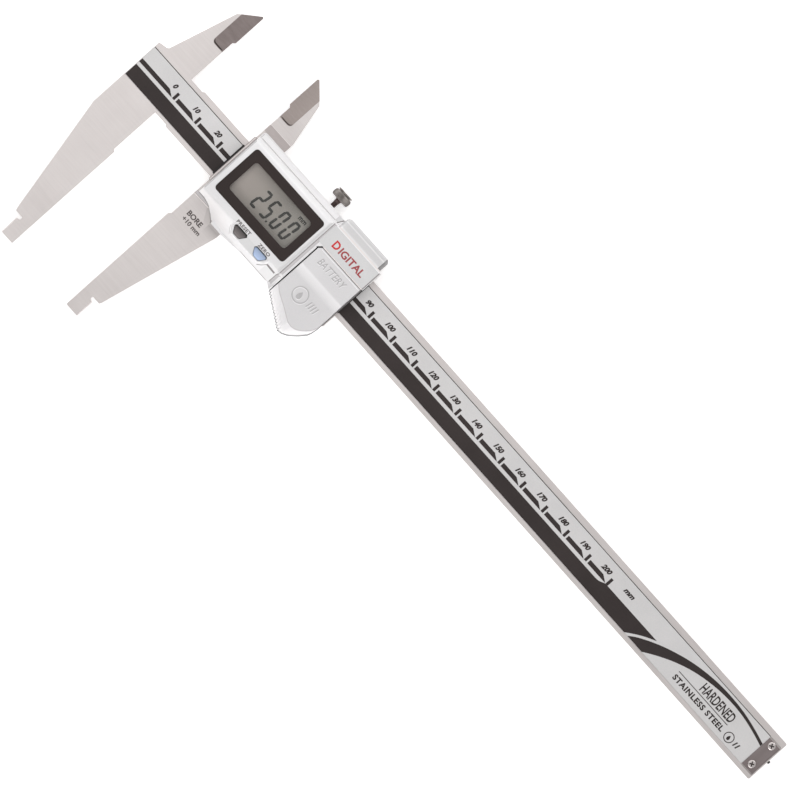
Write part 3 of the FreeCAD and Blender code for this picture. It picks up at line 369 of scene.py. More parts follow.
def linked(name, data):
    """A new object in the scene."""
    item = bpy.data.objects.new(name, data)
    SCENE.collection.objects.link(item)
    return item


def paint(mesh, choose):
    """Give each face the material that a function chooses from its middle and its normal."""
    for face in mesh.faces:
        face.material_index = int(choose(face.calc_center_median(), face.normal))


def piece(name, mesh, body, *materials, slot=None, replaces=(), sharp=34.0):
    """Finish a mesh drawn in millimetres and make it ride with a CAD body."""
    bmesh.ops.remove_doubles(mesh, verts=mesh.verts, dist=0.0005)
    bmesh.ops.recalc_face_normals(mesh, faces=mesh.faces)
    for face in mesh.faces:
        face.smooth = True
    for edge in mesh.edges:
        if len(edge.link_faces) == 2:
            edge.smooth = edge.calc_face_angle(0.0) < math.radians(sharp)
    mesh.transform(TO_ROW)
    data = bpy.data.meshes.new(name)
    mesh.to_mesh(data)
    mesh.free()
    for material in materials:
        data.materials.append(MATERIALS[material])
    item = linked(name, data)
    weighted = item.modifiers.new("weighted_normals", "WEIGHTED_NORMAL")
    weighted.keep_sharp = True
    weighted.weight = 90
    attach(item, body)
    if replaces:
        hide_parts(*replaces)
    return item


def turned_on(row):
    """The row from its second item on, with the first one last."""
    return [*row[1:], row[0]]


def walls(mesh, first, second, material=0):
    """Faces between two closed rows of corners."""
    for corners in zip(first, turned_on(first), turned_on(second), second):
        mesh.faces.new(corners).material_index = material


def loft(mesh, rings, material=0):
    """A closed skin through rings of the same number of points, with flat ends."""
    loops = [[mesh.verts.new(point) for point in ring] for ring in rings]
    for first, second in zip(loops, loops[1:]):
        walls(mesh, first, second, material)
    mesh.faces.new(list(reversed(loops[0]))).material_index = material
    mesh.faces.new(loops[-1]).material_index = material


def rectangle(left, bottom, right, top):
    return [(left, bottom), (right, bottom), (right, top), (left, top)]


def prism(mesh, outline, low, high, material=0):
    """An upright solid over an outline."""
    loft(mesh, [[(x, y, z) for x, y in outline] for z in (low, high)], material)


def hoop(mesh, outer, inner, low, high, material=0):
    """A flat ring between two outlines with the same number of points."""
    loops = [[mesh.verts.new((*point, z)) for point in line]
             for line, z in ((outer, low), (outer, high), (inner, high), (inner, low))]
    for first, second in zip(loops, turned_on(loops)):
        walls(mesh, first, second, material)


def turned(mesh, profile, segments, material=lambda radius, height: 0, ripple=None):
    """A solid turned about the z axis, from (radius, height) pairs."""
    rings = []
    for radius, height in profile:
        ring = []
        for step in range(segments):
            angle = 2 * math.pi * step / segments
            reach = radius + (ripple(radius, height, angle) if ripple else 0.0)
            ring.append(mesh.verts.new((reach * math.cos(angle), reach * math.sin(angle), height)))
        rings.append(ring)
    for place, first, second in zip(profile, rings, rings[1:]):
        walls(mesh, first, second, material(*place))
    mesh.faces.new(list(reversed(rings[0]))).material_index = material(*profile[0])
    mesh.faces.new(rings[-1]).material_index = material(*profile[-1])


def smooth_line(points, steps=6):
    """A Catmull-Rom curve through the points."""
    padded = [points[0], *points, points[-1]]
    line = []
    for before, start, stop, after in zip(padded, padded[1:], padded[2:], padded[3:]):
        for step in range(steps):
            t = step / steps
            line.append(tuple(
                0.5 * (2 * b + (c - a) * t + (2 * a - 5 * b + 4 * c - d) * t * t
                       + (3 * b - a - 3 * c + d) * t ** 3)
                for a, b, c, d in zip(before, start, stop, after)
            ))
    return [*line, points[-1]]


def rounded(outline, radius, steps=4):
    """The outline with each corner replaced by a curve that starts a radius away from it."""
    points = []
    for before, corner, after in zip([outline[-1], *outline], outline, turned_on(outline)):
        corner, before, after = Vector(corner), Vector(before), Vector(after)
        start = corner + (before - corner).normalized() * min(radius, (before - corner).length / 2.05)
        stop = corner + (after - corner).normalized() * min(radius, (after - corner).length / 2.05)
        for step in range(steps + 1):
            t = step / steps
            points.append(tuple(start * (1 - t) ** 2 + corner * 2 * t * (1 - t) + stop * t ** 2))
    return points


def band(mesh, upper, lower, low, high, material=0):
    """A flat strip between two lines with the same number of points."""
    rings = [
        [(x1, y1, low), (x2, y2, low), (x2, y2, high), (x1, y1, high)]
        for (x1, y1), (x2, y2) in zip(upper, lower)
    ]
    loft(mesh, rings, material)


def lettering(mesh, text, box, low, high, slant=0.0, weight=0.0, spacing=1.0, material=0):
    """Text stretched into a box (left, bottom, right, top), as solid letters."""
    curve = bpy.data.curves.new("lettering", "FONT")
    curve.body = text
    curve.shear = slant
    curve.offset = weight
    curve.space_character = spacing
    curve.extrude = 0.5
    curve.resolution_u = 3
    holder = linked("lettering", curve)
    bpy.context.view_layer.update()
    data = bpy.data.meshes.new_from_object(holder.evaluated_get(bpy.context.evaluated_depsgraph_get()))
    across = [vertex.co.x for vertex in data.vertices]
    up = [vertex.co.y for vertex in data.vertices]
    left, bottom, right, top = box
    width = (right - left) / (max(across) - min(across))
    height = (top - bottom) / (max(up) - min(up))
    data.transform(
        Matrix.Translation((left, bottom, (low + high) / 2))
        @ Matrix.Diagonal((width, height, high - low, 1.0))
        @ Matrix.Translation((-min(across), -min(up), 0.0))
    )
    for polygon in data.polygons:
        polygon.material_index = material
    mesh.from_mesh(data)
    bpy.data.objects.remove(holder)
    bpy.data.curves.remove(curve)
    bpy.data.meshes.remove(data)


def drawn_box(node):
    """The low and high corner of a CAD node's box, in millimetres."""
    return [FROM_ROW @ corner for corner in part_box(node)]


def surface(node):
    """A function that gives the height of a CAD node's front surface at a point."""
    data = NODES[node].data
    tree = BVHTree.FromPolygons([FROM_ROW @ v.co for v in data.vertices], [p.vertices for p in data.polygons])
    return lambda x, y: tree.ray_cast(Vector((x, y, 40.0)), Vector((0, 0, -1)))[0].z


def split(mesh, place, normal):
    """Divide the faces that cross a plane."""
    bmesh.ops.bisect_plane(mesh, geom=[*mesh.verts, *mesh.edges, *mesh.faces], plane_co=place,
                           plane_no=normal, dist=1e-5)


def bevel(mesh, edges, width):
    bmesh.ops.bevel(mesh, geom=edges, offset=width, segments=2, profile=0.5, affect="EDGES",
                    clamp_overlap=True)


def softened(name, node, body, width, *materials, choose=None, cuts=()):
    """A copy of a CAD node with its edges rounded, which stands for the node."""
    mesh = bmesh.new()
    mesh.from_mesh(NODES[node].data)
    mesh.transform(FROM_ROW)
    bmesh.ops.remove_doubles(mesh, verts=mesh.verts, dist=0.002)
    bmesh.ops.dissolve_limit(mesh, angle_limit=math.radians(0.6), verts=mesh.verts, edges=mesh.edges)
    edges = [
        edge for edge in mesh.edges
        if len(edge.link_faces) == 2 and edge.calc_face_angle(0.0) > math.radians(32)
    ]
    bevel(mesh, edges, width)
    for place, normal in cuts:
        split(mesh, place, normal)
    if choose:
        paint(mesh, choose)
    return piece(name, mesh, body, *materials, replaces=(node,))


# Beam: the ground steel, and the print on the scale's cover.


def in_fixed_blade(centre, normal):
    return -5.5 < centre.x < -0.05 and centre.y > 19.3 and 0.2 < abs(normal.z) < 0.998


softened("beam_steel", "main_beam", "beam", 0.12, "hardened_steel", "blade_steel", choose=in_fixed_blade)

COVER_TOP = 5.65
INK_LOW = COVER_TOP - 0.02
INK_HIGH = COVER_TOP + 0.02


def ink(mesh, outline):
    """A flat of print on the scale's cover."""
    prism(mesh, outline, INK_LOW, INK_HIGH)


def scale_print():
    """The tick marks, the bars between them, the black band with its sweep, and two fine lines, the upper one
    a painted shadow of the cover's seam.
    """
    mesh = bmesh.new()
    left, right, foot = -15.7, 268.4, -7.0
    bar_top, bar_low = 0.12, -1.3
    for mark in range(0, 201, 10):
        ink(mesh, rectangle(mark - 0.55, bar_low, mark + 0.42, 1.24))
    for mark in range(-10, 200, 10):
        start = mark + 1.02 if mark >= 0 else left
        cut = smooth_line([(mark + 9.3, bar_low), (mark + 8.3, -0.68), (mark + 6.9, bar_top)], 4)
        ink(mesh, [(start, bar_low), *cut, (start, bar_top)])
    rise = smooth_line([(195.9, -2.45), (197.3, -2.3), (198.4, -1.85), (199.5, -1.32)], 5)
    lift = smooth_line([(223.2, -1.32), (220.2, -2.9), (217.4, -4.7), (214.4, foot)], 6)
    ink(mesh, [(left, foot), (left, -2.45), *rise, *lift])
    upper = smooth_line([
        (215.9, foot), (218.1, -5.2), (222.0, -2.85), (226.0, -0.88), (230.0, 0.72), (234.0, 2.05),
        (238.0, 3.06), (242.0, 3.77), (246.0, 4.22), (250.0, 4.4), (254.5, 4.3), (259.0, 3.85), (264.0, 2.95),
        (right, 1.9)])
    lower = smooth_line([
        (222.5, foot), (223.7, -6.15), (226.0, -4.65), (228.2, -3.35), (231.0, -1.85), (234.6, -0.25),
        (238.4, 1.07), (242.2, 2.02), (246.0, 2.7), (250.0, 3.1), (254.5, 3.2), (259.0, 2.85), (264.0, 1.97),
        (right, 0.9)])
    band(mesh, upper, lower, INK_LOW, INK_HIGH)
    # A painted shadow of the seam between the cover and the beam's upper rail.
    ink(mesh, rectangle(left, 5.16, right, 5.34))
    ink(mesh, rectangle(234.6, -2.5, 256.9, -2.26))
    return piece("scale_print", mesh, "beam", "print_black", slot="scale_laminate")


def ring_and_drop(mesh, x, y, radius, width, low, high, material=0):
    """A generic mark: a water drop in a ring."""
    steps = 40
    angles = [2 * math.pi * step / steps for step in range(steps)]
    outer = [(x + radius * math.cos(a), y + radius * math.sin(a)) for a in angles]
    inner = [(x + (radius - width) * math.cos(a), y + (radius - width) * math.sin(a)) for a in angles]
    hoop(mesh, outer, inner, low, high, material)
    size = radius * 0.5
    middle = y - size * 0.15
    drop = [(x + size * 0.78 * math.sin(a) * math.sin(a / 2), middle + size * math.cos(a)) for a in angles]
    prism(mesh, drop, low, high, material)


def scale_figures():
    """The scale's figures and the generic lettering at its end."""
    mesh = bmesh.new()
    low, high = 1.06, 2.82
    for mark in range(0, 201, 10):
        text = str(mark)
        width = 1.33 if mark == 0 else 1.3 * len(text) - (0.35 if text.startswith("1") else 0.0)
        right = mark - (1.72 if mark == 0 else 1.52)
        lettering(mesh, text, (right - width, low, right, high), INK_LOW, INK_HIGH, 0.3, 0.055)
    lettering(mesh, "mm", (204.7, 1.25, 208.9, 2.5), INK_LOW, INK_HIGH, 0.3, 0.05)
    lettering(mesh, "HARDENED", (242.9, -1.65, 257.0, 1.65), INK_LOW, INK_HIGH, 0.0, 0.02)
    lettering(mesh, "STAINLESS STEEL", (234.6, -5.4, 257.0, -3.45), INK_LOW, INK_HIGH, 0.0, 0.038, 1.12)
    ring_and_drop(mesh, 260.0, -4.5, 1.75, 0.28, INK_LOW, INK_HIGH)
    for left in (262.3, 263.4):
        ink(mesh, [(left, -5.4), (left + 0.45, -5.4), (left + 0.95, -3.6), (left + 0.5, -3.6)])
    return piece("scale_figures", mesh, "beam", "print_black", slot="scale_laminate")


scale_print()
scale_figures()


def cross_screw(name, body, heads, face_z, radius, height, back, materials, node, slot=None):
    """Round heads with a cross recess that stand for a node's screws."""
    mesh = bmesh.new()
    segments = 40
    facing = -1.0 if back else 1.0
    half, reach, depth = radius * 0.15, radius * 0.62, height * 0.8
    # The recess takes the last material; on the end screws that is a second one, a painted shade in the
    # recess.
    dark = len(materials) - 1
    cross, arm = [], [(reach, half), (half, half), (half, reach)]
    for _ in range(4):
        cross += arm
        arm = [(-v, u) for u, v in arm]
    for x, y in heads:
        single = bmesh.new()
        shape = ((1.0, 0.0), (1.0, 0.45), (0.94, 0.74), (0.8, 0.92), (0.68, 1.0))
        turned(single, [(radius * wide, height * tall) for wide, tall in shape], segments)
        top = [face for face in single.faces
               if len(face.verts) == segments and face.calc_center_median().z > height / 2]
        bmesh.ops.delete(single, geom=top, context="FACES_ONLY")
        rim = [v for v in single.verts if abs(v.co.z - height) < 1e-6]
        rim.sort(key=lambda v: math.atan2(v.co.y, v.co.x))
        edge = [single.verts.new((u, v, height)) for u, v in cross]
        floor = [single.verts.new((u * 0.86, v * 0.86, height - depth)) for u, v in cross]
        walls(single, edge, floor, dark)
        single.faces.new(floor).material_index = dark
        fill = [single.edges.get(pair) for row in (rim, edge) for pair in zip(row, turned_on(row))]
        bmesh.ops.triangle_fill(single, edges=fill, use_beauty=True)
        spin = Matrix.Rotation(0.4 + 1.3 * x, 4, "Z")
        flip = Matrix.Diagonal((1.0, facing, facing, 1.0))
        single.transform(Matrix.Translation((x, y, face_z)) @ flip @ spin)
        data = bpy.data.meshes.new("head")
        single.to_mesh(data)
        single.free()
        mesh.from_mesh(data)
        bpy.data.meshes.remove(data)
    return piece(name, mesh, body, *materials, slot=slot, replaces=(node,))


# Faces that face up or down the beam take the lighter beam steel: a painted highlight along the plate's
# bevels.
softened("end_plate_steel", "end_plate", "beam", 0.16, "end_steel", "hardened_steel",
         choose=lambda centre, normal: abs(normal.y) > 0.3)
cross_screw("end_screws", "beam", [(270.8, -4.7), (270.8, 3.5)], 5.93, 1.3, 0.5, False,
            ("bright_screw", "recess_shade"), "end_plate_screws", "dark_screw")


# Slider: the steel frame, its marking, and the wipers.


def frame_tone(centre, normal):
    """0 for the ground faces, 1 for the blade's bevel, 2 for the slopes beside the jaws, in a darker steel as
    painted shade.
    """
    if centre.y > 19.0:
        return 0.2 < abs(normal.z) < 0.998 and centre.x < 30.4
    return 2 * (centre.x < 41 and (centre.y > 13.3 or centre.y < -14.2) and 0.6 < normal.z < 0.995)


frame_front = surface("slider_frame")
beam_front = surface("main_beam")


def draped(mesh, upper, lower, front, material=0):
    """A thin strip between two lines with the same number of points, which lies on a surface."""
    rings = []
    for (x1, y1), (x2, y2) in zip(upper, lower):
        z1, z2 = front(x1, y1), front(x2, y2)
        rings.append([(x1, y1, z1 - 0.06), (x2, y2, z2 - 0.06), (x2, y2, z2 + 0.02), (x1, y1, z1 + 0.02)])
    loft(mesh, rings, material)


def blade_runout(name, body, front, face, side, slot):
    """A dark curve of painted shadow where the grinding wheel left a knife jaw."""
    mesh = bmesh.new()
    lower = [(5.35, 20.9), (5.1, 20.2), (4.5, 19.78), (3.2, 19.66), (1.9, 19.7), (1.1, 19.95)]
    upper = [(5.3, 20.95), (4.9, 20.45), (4.35, 20.2), (3.2, 20.12), (2.0, 20.14), (1.15, 20.1)]
    upper, lower = ([(face + side * u, y) for u, y in smooth_line(line, 4)] for line in (upper, lower))
    draped(mesh, upper, lower, front)
    return piece(name, mesh, body, "recess_shade", slot=slot)


blade_runout("fixed_runout_shadow", "beam", beam_front, 0.0, -1, "hardened_steel")
blade_runout("movable_runout_shadow", "slider", frame_front, JAW_OPENING, 1, "slider_steel")
softened("frame_steel", "slider_frame", "slider", 0.12, "slider_steel", "blade_light", "slope_shade_steel",
         choose=frame_tone)


def jaw_marking():
    """The generic words on the movable jaw: it measures bores from 10 mm up."""
    mesh = bmesh.new()
    level = frame_front(32.5, -21.0)
    for words, box in (("BORE", (28.9, -21.7, 34.9, -19.9)), ("+10 mm", (29.0, -23.85, 36.4, -22.3))):
        lettering(mesh, words, box, level - 0.03, level + 0.01, weight=0.032)
    return piece("jaw_marking", mesh, "slider", "etched", slot="slider_steel")


def jaw_shadow():
    """The painted shadow on the jaw just below the housing's foot."""
    mesh = bmesh.new()
    level = frame_front(38.0, -19.0)
    right = smooth_line([(40.55, -18.1), (40.55, -20.0), (40.3, -21.2), (40.0, -22.0)], 3)
    prism(mesh, [(36.0, -22.0), *reversed(right), (36.0, -18.0)], level - 0.05, level + 0.008)
    prism(mesh, [(31.6, -15.42), (34.4, -19.7), (35.1, -19.8), (35.7, -21.0), (36.0, -21.6), (36.0, -15.42)],
          level - 0.05, level + 0.006, 1)
    return piece("jaw_shadow", mesh, "slider", "jaw_shade", "jaw_half_shade", slot="slider_steel")


WIPER_PLATE_FRONT = 7.0


def wiper_lip():
    """The rubber lip that wipes the scale in front of the slider, and its edge beside the steel plate."""
    mesh = bmesh.new()
    low, high = drawn_box("front_wiper")
    loft(mesh, [
        [(24.78 + reach, high.y - 0.05, level), (24.78 + reach, low.y + 0.05, level), (26.3, low.y, level),
         (26.3, high.y, level)]
        for level, reach in ((5.78, 0.14), (5.9, 0.02), (6.1, 0.0), (6.19, 0.06))
    ])
    prism(mesh, rectangle(25.25, low.y, 25.42, high.y), 6.0, WIPER_PLATE_FRONT + 0.03)
    return piece("wiper_lip", mesh, "slider", "black_rubber", replaces=("front_wiper",))


jaw_marking()
jaw_shadow()
wiper_lip()
# The wiper plate takes the darker steel that paints shade on the jaw slopes.
NODES["wiper_plate"].data.materials[0] = MATERIALS["slope_shade_steel"]


# Display housing and what is on it.


PAD_TOP = -12.35
PAD_RIGHT = 56.9


def housing_tone(centre, normal):
    """0 for the shell, 1 for the button pad in a darker copy of the paint as painted shade, 2 for the slope
    right of it, darker as painted shade, 3 for the ramp to the rear part at full brightness as a painted
    highlight.
    """
    if normal.z > 0.99 and centre.z > 14.1 and centre.y < PAD_TOP:
        return 1
    if centre.x > PAD_RIGHT and centre.y < -12.9 and 0.3 < normal.z < 0.8:
        return 2
    return 3 * (60.6 < centre.x < 61.6 and centre.z > 13.5 and normal.x > 0.3 and normal.z > 0.5)


softened("housing_shell", "display_housing", "slider", 0.2, "housing_silver", "pad_shade_silver", "slope_shade_silver",
         "step_highlight_silver", cuts=(((0, PAD_TOP, 0), (0, 1, 0)), ((PAD_RIGHT, 0, 0), (1, 0, 0))),
         choose=housing_tone)
softened("bezel_frame", "display_bezel", "slider", 0.16, "bezel_dark")
housing_front = surface("display_housing")


def crease(mesh, points, width, front, material=0):
    """A fine strip that lies on a surface along the points, for lines of painted shade and highlight."""
    corners = [Vector(point) for point in points]
    points = [corners[0]]
    for start, stop in zip(corners, corners[1:]):
        steps = max(1, math.ceil((stop - start).length / 0.8))
        points += [start.lerp(stop, (step + 1) / steps) for step in range(steps)]
    upper, lower = [], []
    for index, (x, y) in enumerate(points):
        run = (points[min(index + 1, len(points) - 1)] - points[max(index - 1, 0)]).normalized() * width / 2
        upper.append((x - run.y, y + run.x))
        lower.append((x + run.y, y - run.x))
    draped(mesh, upper, lower, front, material)


def housing_creases():
    """Painted shade and highlight lines round the housing's steps, its button pad and its foot, and on the
    jaw and the wiper plate beside it.
    """
    mesh = bmesh.new()
    # Materials: painted shade, lighter painted shade, painted highlight, the housing's paint, and the pad's
    # darker paint as painted shade.
    dark, light, bright, fill, pad_shade = range(5)
    shelf = housing_front(60.0, 12.5)

    def line(width, material, points, front=housing_front):
        crease(mesh, points, width, front, material)

    line(0.2, light, [(27.3, 11.14), (60.9, 11.14)])
    line(0.18, light, [(26.75, 12.5), (26.75, -12.0)])
    line(0.3, dark, [(61.7, 10.4), (61.7, -12.77), (61.36, -13.5), (61.32, -16.7)])
    line(0.8, light, [(62.28, 10.4), (62.28, -12.77), (61.95, -13.5), (61.95, -16.7)])
    line(0.56, dark, [(57.1, -13.58), (60.6, -13.72)])
    line(0.2, dark, smooth_line([(57.0, -13.6), (56.6, -14.3), (55.8, -15.2), (54.9, -15.98)]))
    line(0.14, light, smooth_line([(40.6, -13.7), (40.9, -14.4), (41.5, -15.15), (42.3, -15.98)]))
    line(0.24, light, [(48.7, -17.12), (60.4, -17.12)])
    line(0.34, dark, [(82.25, 10.3), (82.25, 3.0)])
    line(0.34, fill, [(63.2, 1.4), (63.2, -12.77), (63.2, -16.8)], lambda x, y: housing_front(62.9, y))
    line(0.4, bright, [(64.7, 2.9), (82.2, 2.9)], lambda x, y: housing_front(x, 4.0))
    line(0.46, bright, [(63.4, 10.74), (82.0, 10.74)], lambda x, y: housing_front(x, 9.0))
    line(0.32, dark, [(61.85, 11.0), (62.35, 12.0), (62.95, 13.05)], lambda x, y: shelf + 0.01)
    scoop = [(26.5, -14.34), (29.0, -14.36), (31.7, -15.0), (34.1, -16.45), (35.5, -17.6), (35.98, -18.15)]
    line(0.22, dark, smooth_line(scoop), frame_front)
    line(0.26, bright, [(25.9, -15.56), (32.2, -15.44)], frame_front)
    line(0.2, bright, [(25.9, 16.02), (34.6, 16.02)], frame_front)
    line(0.28, bright, [(25.76, 9.8), (25.76, -9.3)], lambda x, y: WIPER_PLATE_FRONT)
    line(0.26, dark, [(26.36, 9.8), (26.36, -9.3)], lambda x, y: WIPER_PLATE_FRONT)
    # A painted shade patch on the shelf's right end.
    prism(mesh, [(60.8, 11.2), (61.95, 11.2), (62.9, 13.0), (60.8, 13.0)], shelf - 0.05, shelf + 0.01, pad_shade)
    # A lighter painted shade band on the jaw just below the scoop.
    draped(mesh, [(25.9, -14.4), (29.0, -14.44), (31.7, -15.04)],
           [(25.9, -15.2), (29.0, -15.2), (31.7, -15.3)], frame_front, light)
    return piece("housing_creases", mesh, "slider", "shade_line_dark", "shade_line_light", "highlight_line",
                 "housing_silver", "pad_shade_silver", slot="housing_silver")


def housing_web():
    """The web that joins the housing's foot to the thumb rest, and the lip over the jaw."""
    mesh = bmesh.new()
    web = [(61.0, -16.9), (61.2, -17.32), (63.08, -18.42), (63.08, -16.9)]
    prism(mesh, web, 2.65, 7.2)
    lip = [(35.9, -17.2), (36.15, -18.12), (41.0, -18.16), (48.7, -17.32), (48.7, -17.2)]
    prism(mesh, lip, 6.4, 6.72)
    return piece("housing_web", mesh, "slider", "housing_silver")


def window_pane():
    """The window with round corners and a fine bevel along its front."""
    mesh = bmesh.new()
    low, high = drawn_box("display_window")
    radius = 1.0
    centres = rectangle(low.x + radius, low.y + radius, high.x - radius, high.y - radius)
    rings = []
    for level, reach in ((12.5, radius), (12.84, radius), (12.9, radius - 0.06)):
        ring = []
        for (centre_x, centre_y), start in zip(centres, (180, 270, 0, 90)):
            for angle in (math.radians(start + 15 * step) for step in range(7)):
                ring.append((centre_x + reach * math.cos(angle), centre_y + reach * math.sin(angle), level))
        rings.append(ring)
    loft(mesh, rings)
    return piece("window_pane", mesh, "slider", "window_clear", replaces=("display_window",))


housing_creases()
housing_web()
window_pane()

SEGMENTS = {"0": "abcdef", "2": "abged", "5": "afgcd"}


def lcd_digits():
    """Slanted seven-segment figures and the unit, in the glass."""
    mesh = bmesh.new()
    low, high = 12.26, 12.33
    width, tall, thick, slant, gap = 2.8, 7.4, 0.86, 0.125, 0.1
    foot = -5.32
    half, middle = thick / 2, tall / 2
    across = {"a": tall - half, "g": middle, "d": half}
    side = gap + 0.12

    def segment(left, outline):
        prism(mesh, [(left + u + slant * v, foot + v) for u, v in outline], low, high)

    def bar_across(left, v):
        segment(left, [
            (side, v), (side + half, v + half), (width - side - half, v + half), (width - side, v),
            (width - side - half, v - half), (side + half, v - half)])

    def bar_up(left, u, start, stop):
        segment(left, [
            (u, start), (u + half, start + half), (u + half, stop - half), (u, stop), (u - half, stop - half),
            (u - half, start + half)])

    for figure, left in zip("2500", (39.2, 43.45, 47.8, 52.05)):
        for letter in SEGMENTS[figure]:
            if letter in across:
                bar_across(left, across[letter])
            else:
                start, stop = (middle, tall - half) if letter in "bf" else (half, middle)
                bar_up(left, width - half if letter in "bc" else half, start + gap, stop - gap)
    prism(mesh, [(46.7, foot), (47.3, foot), (47.38, -4.7), (46.78, -4.7)], low, high)
    lettering(mesh, "mm", (52.85, 2.8, 55.85, 4.0), low, high, weight=0.028)
    return piece("lcd_digits", mesh, "slider", "lcd_ink", slot="lcd_face")


HOUSING_FRONT = 14.2
PLATE_FRONT = 13.65


def key_lettering():
    mesh = bmesh.new()
    for words, left, right in (("PRESET", 41.0, 46.9), ("ZERO", 50.8, 55.7)):
        lettering(mesh, words, (left, -11.85, right, -10.75), HOUSING_FRONT - 0.03, HOUSING_FRONT + 0.01,
                  weight=0.03, spacing=1.08)
    return piece("key_lettering", mesh, "slider", "print_grey", slot="housing_silver")


def plate_lettering():
    """The generic word on the name plate, its first letter larger and brighter."""
    mesh = bmesh.new()
    low, high = PLATE_FRONT - 0.02, PLATE_FRONT + 0.02
    lettering(mesh, "D", (66.0, 4.85, 68.3, 7.55), low, high, weight=0.03, material=1)
    lettering(mesh, "IGITAL", (68.9, 4.85, 79.3, 7.35), low, high, weight=0.028)
    return piece("plate_lettering", mesh, "slider", "print_red", "print_bright_red", slot="plate_light")


lcd_digits()
key_lettering()
plate_lettering()
softened("name_plate_trim", "name_plate", "slider", 0.05, "plate_light")
KEY_Y = -13.55


def domed_key(name, body, centre_x, material):
    """A key with a low crowned top that leans a little towards its foot."""
    mesh = bmesh.new()
    outline = rounded([
        (-2.58, 0.62), (-2.08, 1.24), (2.08, 1.24), (2.58, 0.62), (1.45, -0.95), (0.9, -1.35), (-0.9, -1.35),
        (-1.45, -0.95),
    ], 0.3)
    rings = []
    for level, scale in (
        (12.1, 1.0), (13.95, 1.0), (14.3, 0.985), (14.45, 0.94), (14.54, 0.84), (14.6, 0.66), (14.64, 0.42),
        (14.65, 0.16),
    ):
        lean = 0.0 if level < 14.0 else 0.075
        ring = [(u * scale, v * scale) for u, v in outline]
        rings.append([(centre_x + u, KEY_Y + v, level + lean * v) for u, v in ring])
    loft(mesh, rings)
    return piece(name, mesh, body, material, replaces=(body,), sharp=50.0)


# Both key materials darken towards the keys' upper edges, a painted shade.
domed_key("preset_key", "preset_button", 44.15, "button_black")
domed_key("zero_key", "zero_button", 53.2, "button_blue")


def connector_shell():
    """The cover over the data connector, with slanting ends."""
    mesh = bmesh.new()
    rings = []
    for x, reach, top in (
        (63.1, 13.5, 9.7), (63.3, 14.2, 10.1), (63.6, 14.7, 10.3), (64.2, 15.05, 10.4), (64.6, 15.1, 10.4),
        (80.6, 15.1, 10.4), (80.95, 15.0, 10.0), (81.35, 14.7, 9.1), (81.75, 14.1, 8.0),
    ):
        shoulder = min(13.72, reach - 0.3)
        rings.append([
            (x, 10.85, 6.5), (x, 10.85, top - 0.12), (x, 11.0, top), (x, shoulder - 0.1, top),
            (x, shoulder + 0.12, top - 0.1), (x, reach - 0.08, top - 1.24), (x, reach, top - 1.5),
            (x, reach, 3.75), (x, reach - 0.15, 3.6), (x, 12.9, 3.6), (x, 12.9, 6.5),
        ])
    loft(mesh, rings)
    # The right end takes the dark copy of the paint, a painted shade.
    paint(mesh, lambda centre, normal: centre.x > 80.7)
    return piece("connector_shell", mesh, "slider", "cover_silver", "cover_shade",
                 replaces=("connector_cover",))


connector_shell()


# Battery lid and case with the serrated thumb rest.


THUMB_EDGE = [
    (64.62, 2.64), (63.66, 1.58), (63.66, -8.6), (63.66, -18.5), (67.2, -20.6), (70.5, -22.5), (73.4, -24.2),
    (74.4, -24.6), (75.9, -24.3), (77.7, -23.2), (79.7, -21.2), (81.35, -18.9), (81.9, -17.3), (82.14, -15.6),
    (82.14, -8.6), (82.14, 2.64),
]
THUMB_FACE = [
    (64.68, 2.54), (63.78, 1.54), (63.78, -8.6), (63.78, -15.1), (66.3, -16.9), (70.0, -18.6), (73.1, -20.2),
    (74.5, -20.9), (76.1, -21.1), (77.7, -20.7), (79.1, -19.8), (80.65, -18.2), (81.55, -16.8), (82.0, -15.2),
    (82.0, -8.6), (82.0, 2.54),
]


def between(start, stop, share):
    return tuple(a + share * (b - a) for a, b in zip(start, stop))


def thumb_samples():
    """Matching points along both outlines, each with the way in and the depth of its tooth."""
    samples = []
    coarse = fine = 0.0
    corners = list(zip(THUMB_EDGE, THUMB_FACE))
    for index, (start, face_start) in enumerate(corners):
        stop, face_stop = corners[(index + 1) % len(corners)]
        length = math.dist(start, stop)
        run_x, run_y = (stop[0] - start[0]) / length, (stop[1] - start[1]) / length
        inward = (-run_y, run_x)
        left_slope = 3 <= index < 7
        right_slope = 7 <= index < 11
        steps = max(1, round(length / (0.158 if left_slope else 0.13))) if left_slope or right_slope else 1
        for step in range(steps):
            t = step / steps
            depth = 0.0
            if left_slope:
                depth = 0.5 * (0.5 - 0.5 * math.cos(2 * math.pi * coarse / 0.95)) ** 2.2
                coarse += length / steps
            elif right_slope:
                depth = 0.24 * (0.5 - 0.5 * math.cos(2 * math.pi * fine / 0.62)) ** 1.6
                fine += length / steps
            samples.append((between(start, stop, t), between(face_start, face_stop, t), inward, depth))
    return samples


SAMPLES = thumb_samples()


def thumb_ring(level, blend, tooth):
    """The outline at a height, blended from the edge to the face, with its teeth."""
    ring = []
    for point, face, (in_x, in_y), depth in SAMPLES:
        x, y = between(point, face, blend)
        ring.append((x + in_x * depth * tooth, y + in_y * depth * tooth, level))
    return ring


# The lid's front from its upper edge down: (y, z) pairs.
LID_PROFILE = [
    (2.75, 13.5), (-4.9, 13.5), (-5.5, 13.46), (-6.1, 13.36), (-7.0, 13.18), (-7.8, 13.05), (-8.4, 13.0),
    (-25.0, 13.0),
]


def lid_top(y):
    for (high_y, high_z), (low_y, low_z) in zip(LID_PROFILE, LID_PROFILE[1:]):
        if y >= low_y:
            return low_z + (high_z - low_z) * (y - low_y) / (high_y - low_y)
    return LID_PROFILE[-1][1]


